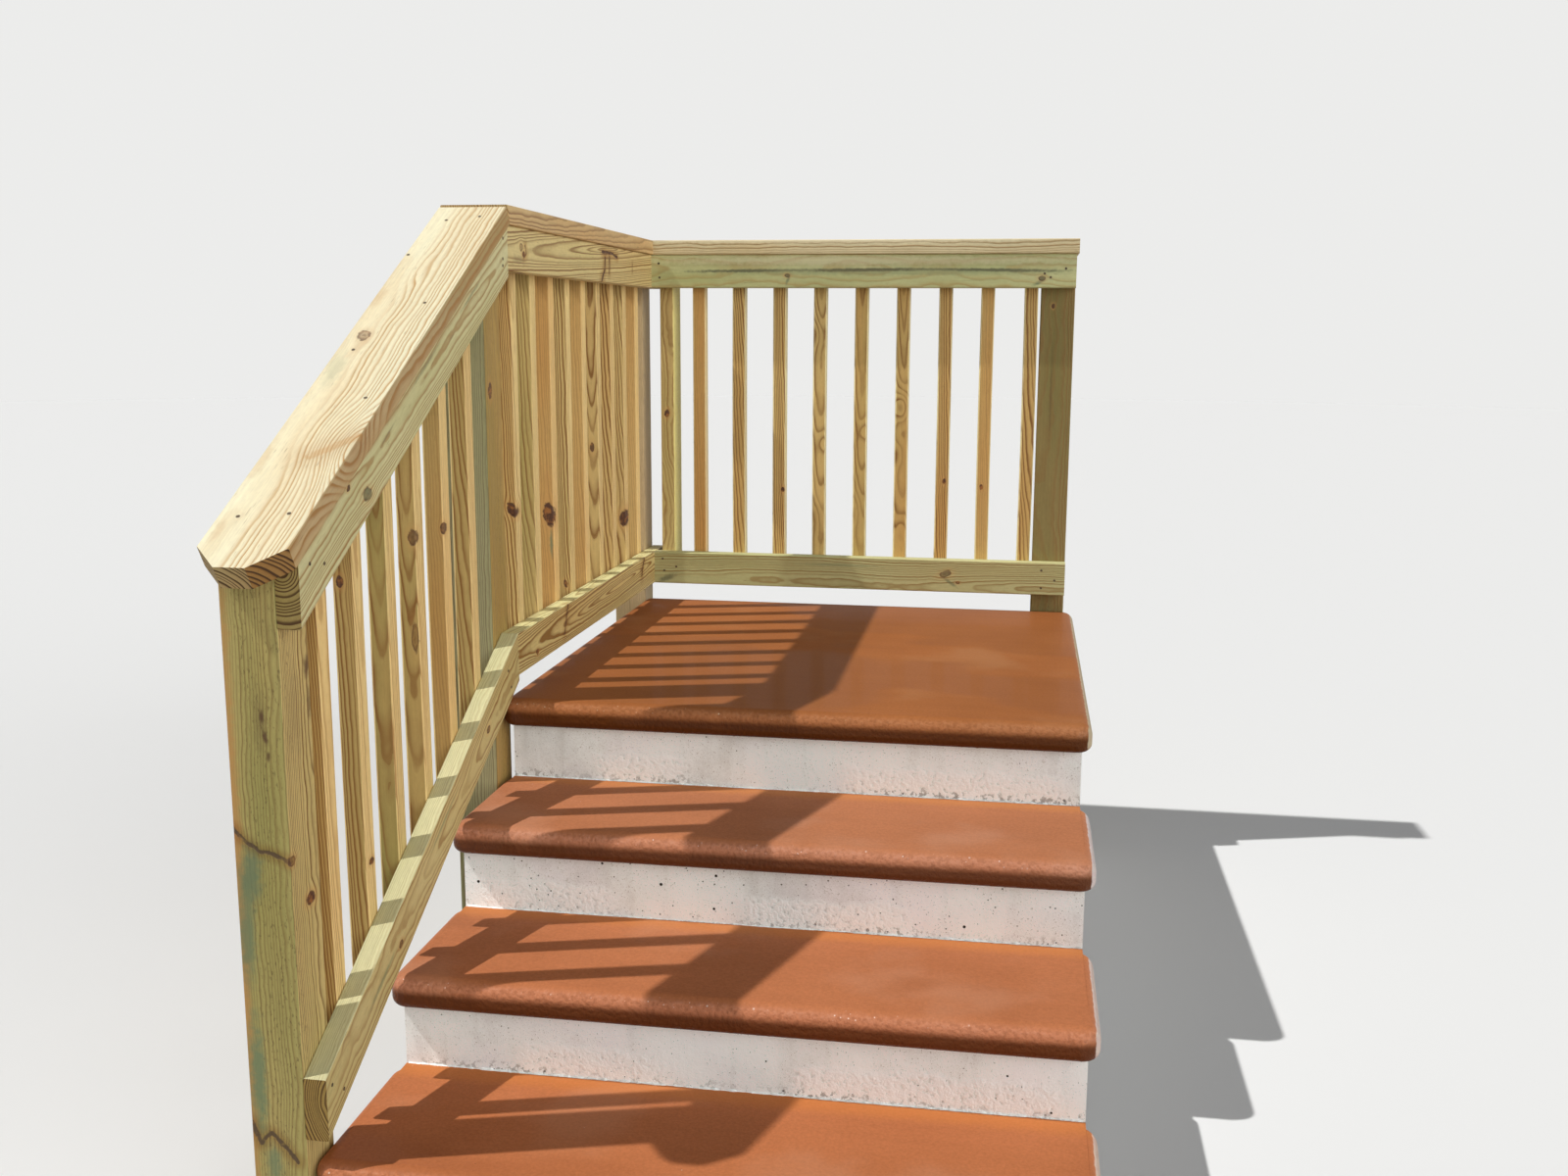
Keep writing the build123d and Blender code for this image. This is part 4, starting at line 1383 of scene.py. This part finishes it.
def light_stage():
    """A key from the railing's side, a wide fill from the door side, and even light all round."""
    studio = bpy.context.scene.studio
    world = bpy.data.worlds.new("studio")
    world.use_nodes = True
    bpy.context.scene.world = world
    tree = Tree(world.node_tree)
    tree.tree.nodes.clear()
    path = tree.add("ShaderNodeLightPath")
    shown = path.most(path.other("Is Glossy Ray")).most(path.other("Is Transmission Ray"))
    even = tree.add("ShaderNodeBackground", {}, {"Color": (1.0, 1.0, 1.0), "Strength": studio.sky})
    seen = tree.add("ShaderNodeBackground", {}, {"Color": studio.backdrop, "Strength": 1.0})
    both = tree.add("ShaderNodeMixShader", {}, (shown, even, seen))
    tree.add("ShaderNodeOutputWorld", {}, {"Surface": both})

    add_lamp("key", studio.key, studio.spread, key_tint, key_from)
    add_lamp("fill", studio.fill, fill_spread, fill_tint, fill_from)


def add_lamp(name, strength, spread, tint, way):
    """A far lamp that shines from one way."""
    lamp = bpy.data.lights.new(name, "SUN")
    lamp.energy = strength
    lamp.angle = spread
    lamp.color = tint
    stand = add_object(name, lamp)
    stand.rotation_mode = "QUATERNION"
    stand.rotation_quaternion = Vector(way).to_track_quat("Z", "Y")


camera_place = (0.4893, -2.9843, 1.4477)
camera_heading, camera_pitch, camera_roll = radians(9.06), radians(-10.03), radians(-0.28)
sensor_width = 36.0


def set_camera():
    """The camera at the photo's place, which looks down the flight from the door side."""
    studio = bpy.context.scene.studio
    data = bpy.data.cameras.new("camera")
    data.sensor_width = sensor_width
    data.lens = studio.lens
    camera = add_object("camera", data)
    turn = (Matrix.Rotation(camera_heading, 4, "Z") @ Matrix.Rotation(camera_pitch, 4, "X")
            @ Matrix.Rotation(camera_roll, 4, "Y") @ Matrix.Rotation(tau / 4, 4, "X"))
    camera.matrix_world = Matrix.Translation(camera_place) @ turn
    bpy.context.scene.camera = camera
    bpy.context.scene.view_settings.view_transform = "Standard"


# Operators

class STEPS_OT_posts(bpy.types.Operator):
    """Give the posts and the corner stud their pine"""

    bl_idname = "steps.posts"
    bl_label = "Posts"

    def execute(self, context):
        dress_boards(posts)
        return {"FINISHED"}


class STEPS_OT_rails(bpy.types.Operator):
    """Give the six rails their pine"""

    bl_idname = "steps.rails"
    bl_label = "Rails"

    def execute(self, context):
        dress_boards(rails)
        return {"FINISHED"}


class STEPS_OT_caps(bpy.types.Operator):
    """Give the three caps their pine"""

    bl_idname = "steps.caps"
    bl_label = "Caps"

    def execute(self, context):
        dress_boards(caps)
        return {"FINISHED"}


class STEPS_OT_balusters(bpy.types.Operator):
    """Grow the three runs of balusters"""

    bl_idname = "steps.balusters"
    bl_label = "Balusters"

    def execute(self, context):
        for run in runs:
            build_stick_run(run)
        return {"FINISHED"}


class STEPS_OT_screws(bpy.types.Operator):
    """Set the screw heads in caps, rails and balusters"""

    bl_idname = "steps.screws"
    bl_label = "Screws"

    def execute(self, context):
        build_screws()
        return {"FINISHED"}


class STEPS_OT_treads(bpy.types.Operator):
    """Paint the landing and the treads"""

    bl_idname = "steps.treads"
    bl_label = "Treads and landing"

    def execute(self, context):
        for node in treads:
            dress(node, tread_material(node))
        return {"FINISHED"}


class STEPS_OT_risers(bpy.types.Operator):
    """Paint the risers"""

    bl_idname = "steps.risers"
    bl_label = "Risers"

    def execute(self, context):
        for node in risers:
            dress(node, riser_material(node))
        return {"FINISHED"}


class STEPS_OT_walls(bpy.types.Operator):
    """Give the side and back walls their bare concrete"""

    bl_idname = "steps.walls"
    bl_label = "Walls"

    def execute(self, context):
        for node in walls:
            dress(node, wall_material(node))
        return {"FINISHED"}


class STEPS_OT_paint_lines(bpy.types.Operator):
    """Run the ragged paint lines along the feet of the risers"""

    bl_idname = "steps.paint_lines"
    bl_label = "Paint lines"

    def execute(self, context):
        build_paint_lines()
        return {"FINISHED"}


class STEPS_OT_stage(bpy.types.Operator):
    """Lay the floor and set the lights and the camera"""

    bl_idname = "steps.stage"
    bl_label = "Stage"

    def execute(self, context):
        build_floor()
        light_stage()
        set_camera()
        return {"FINISHED"}


operators = (STEPS_OT_posts, STEPS_OT_rails, STEPS_OT_caps, STEPS_OT_balusters, STEPS_OT_screws,
             STEPS_OT_treads, STEPS_OT_risers, STEPS_OT_walls, STEPS_OT_paint_lines, STEPS_OT_stage)

settings = {"timber": TimberSettings, "sticks": StickSettings, "screws": ScrewSettings,
            "paint": PaintSettings, "studio": StudioSettings}


class STEPS_PT_panel(bpy.types.Panel):
    """The steps' pieces and their settings."""

    bl_idname = "STEPS_PT_panel"
    bl_label = "Entry steps"
    bl_space_type = "VIEW_3D"
    bl_region_type = "UI"
    bl_category = "Steps"

    def draw(self, context):
        for operator in operators:
            self.layout.operator(operator.bl_idname)
        for name, group in settings.items():
            box = self.layout.box()
            box.label(text=group.__doc__)
            for field in group.__annotations__:
                box.prop(getattr(context.scene, name), field)


def register():
    """Register the settings, the operators and the panel."""
    for name, group in settings.items():
        bpy.utils.register_class(group)
        setattr(bpy.types.Scene, name, PointerProperty(type=group))
    for piece in (*operators, STEPS_PT_panel):
        bpy.utils.register_class(piece)


def unregister():
    """Undo what register did."""
    for piece in reversed((*operators, STEPS_PT_panel)):
        bpy.utils.unregister_class(piece)
    for name, group in settings.items():
        delattr(bpy.types.Scene, name)
        bpy.utils.unregister_class(group)


def main():
    """Dress the whole object."""
    register()
    bpy.ops.steps.posts()
    bpy.ops.steps.rails()
    bpy.ops.steps.caps()
    bpy.ops.steps.balusters()
    bpy.ops.steps.screws()
    bpy.ops.steps.treads()
    bpy.ops.steps.risers()
    bpy.ops.steps.walls()
    bpy.ops.steps.paint_lines()
    bpy.ops.steps.stage()


if __name__ == "__main__":
    main()
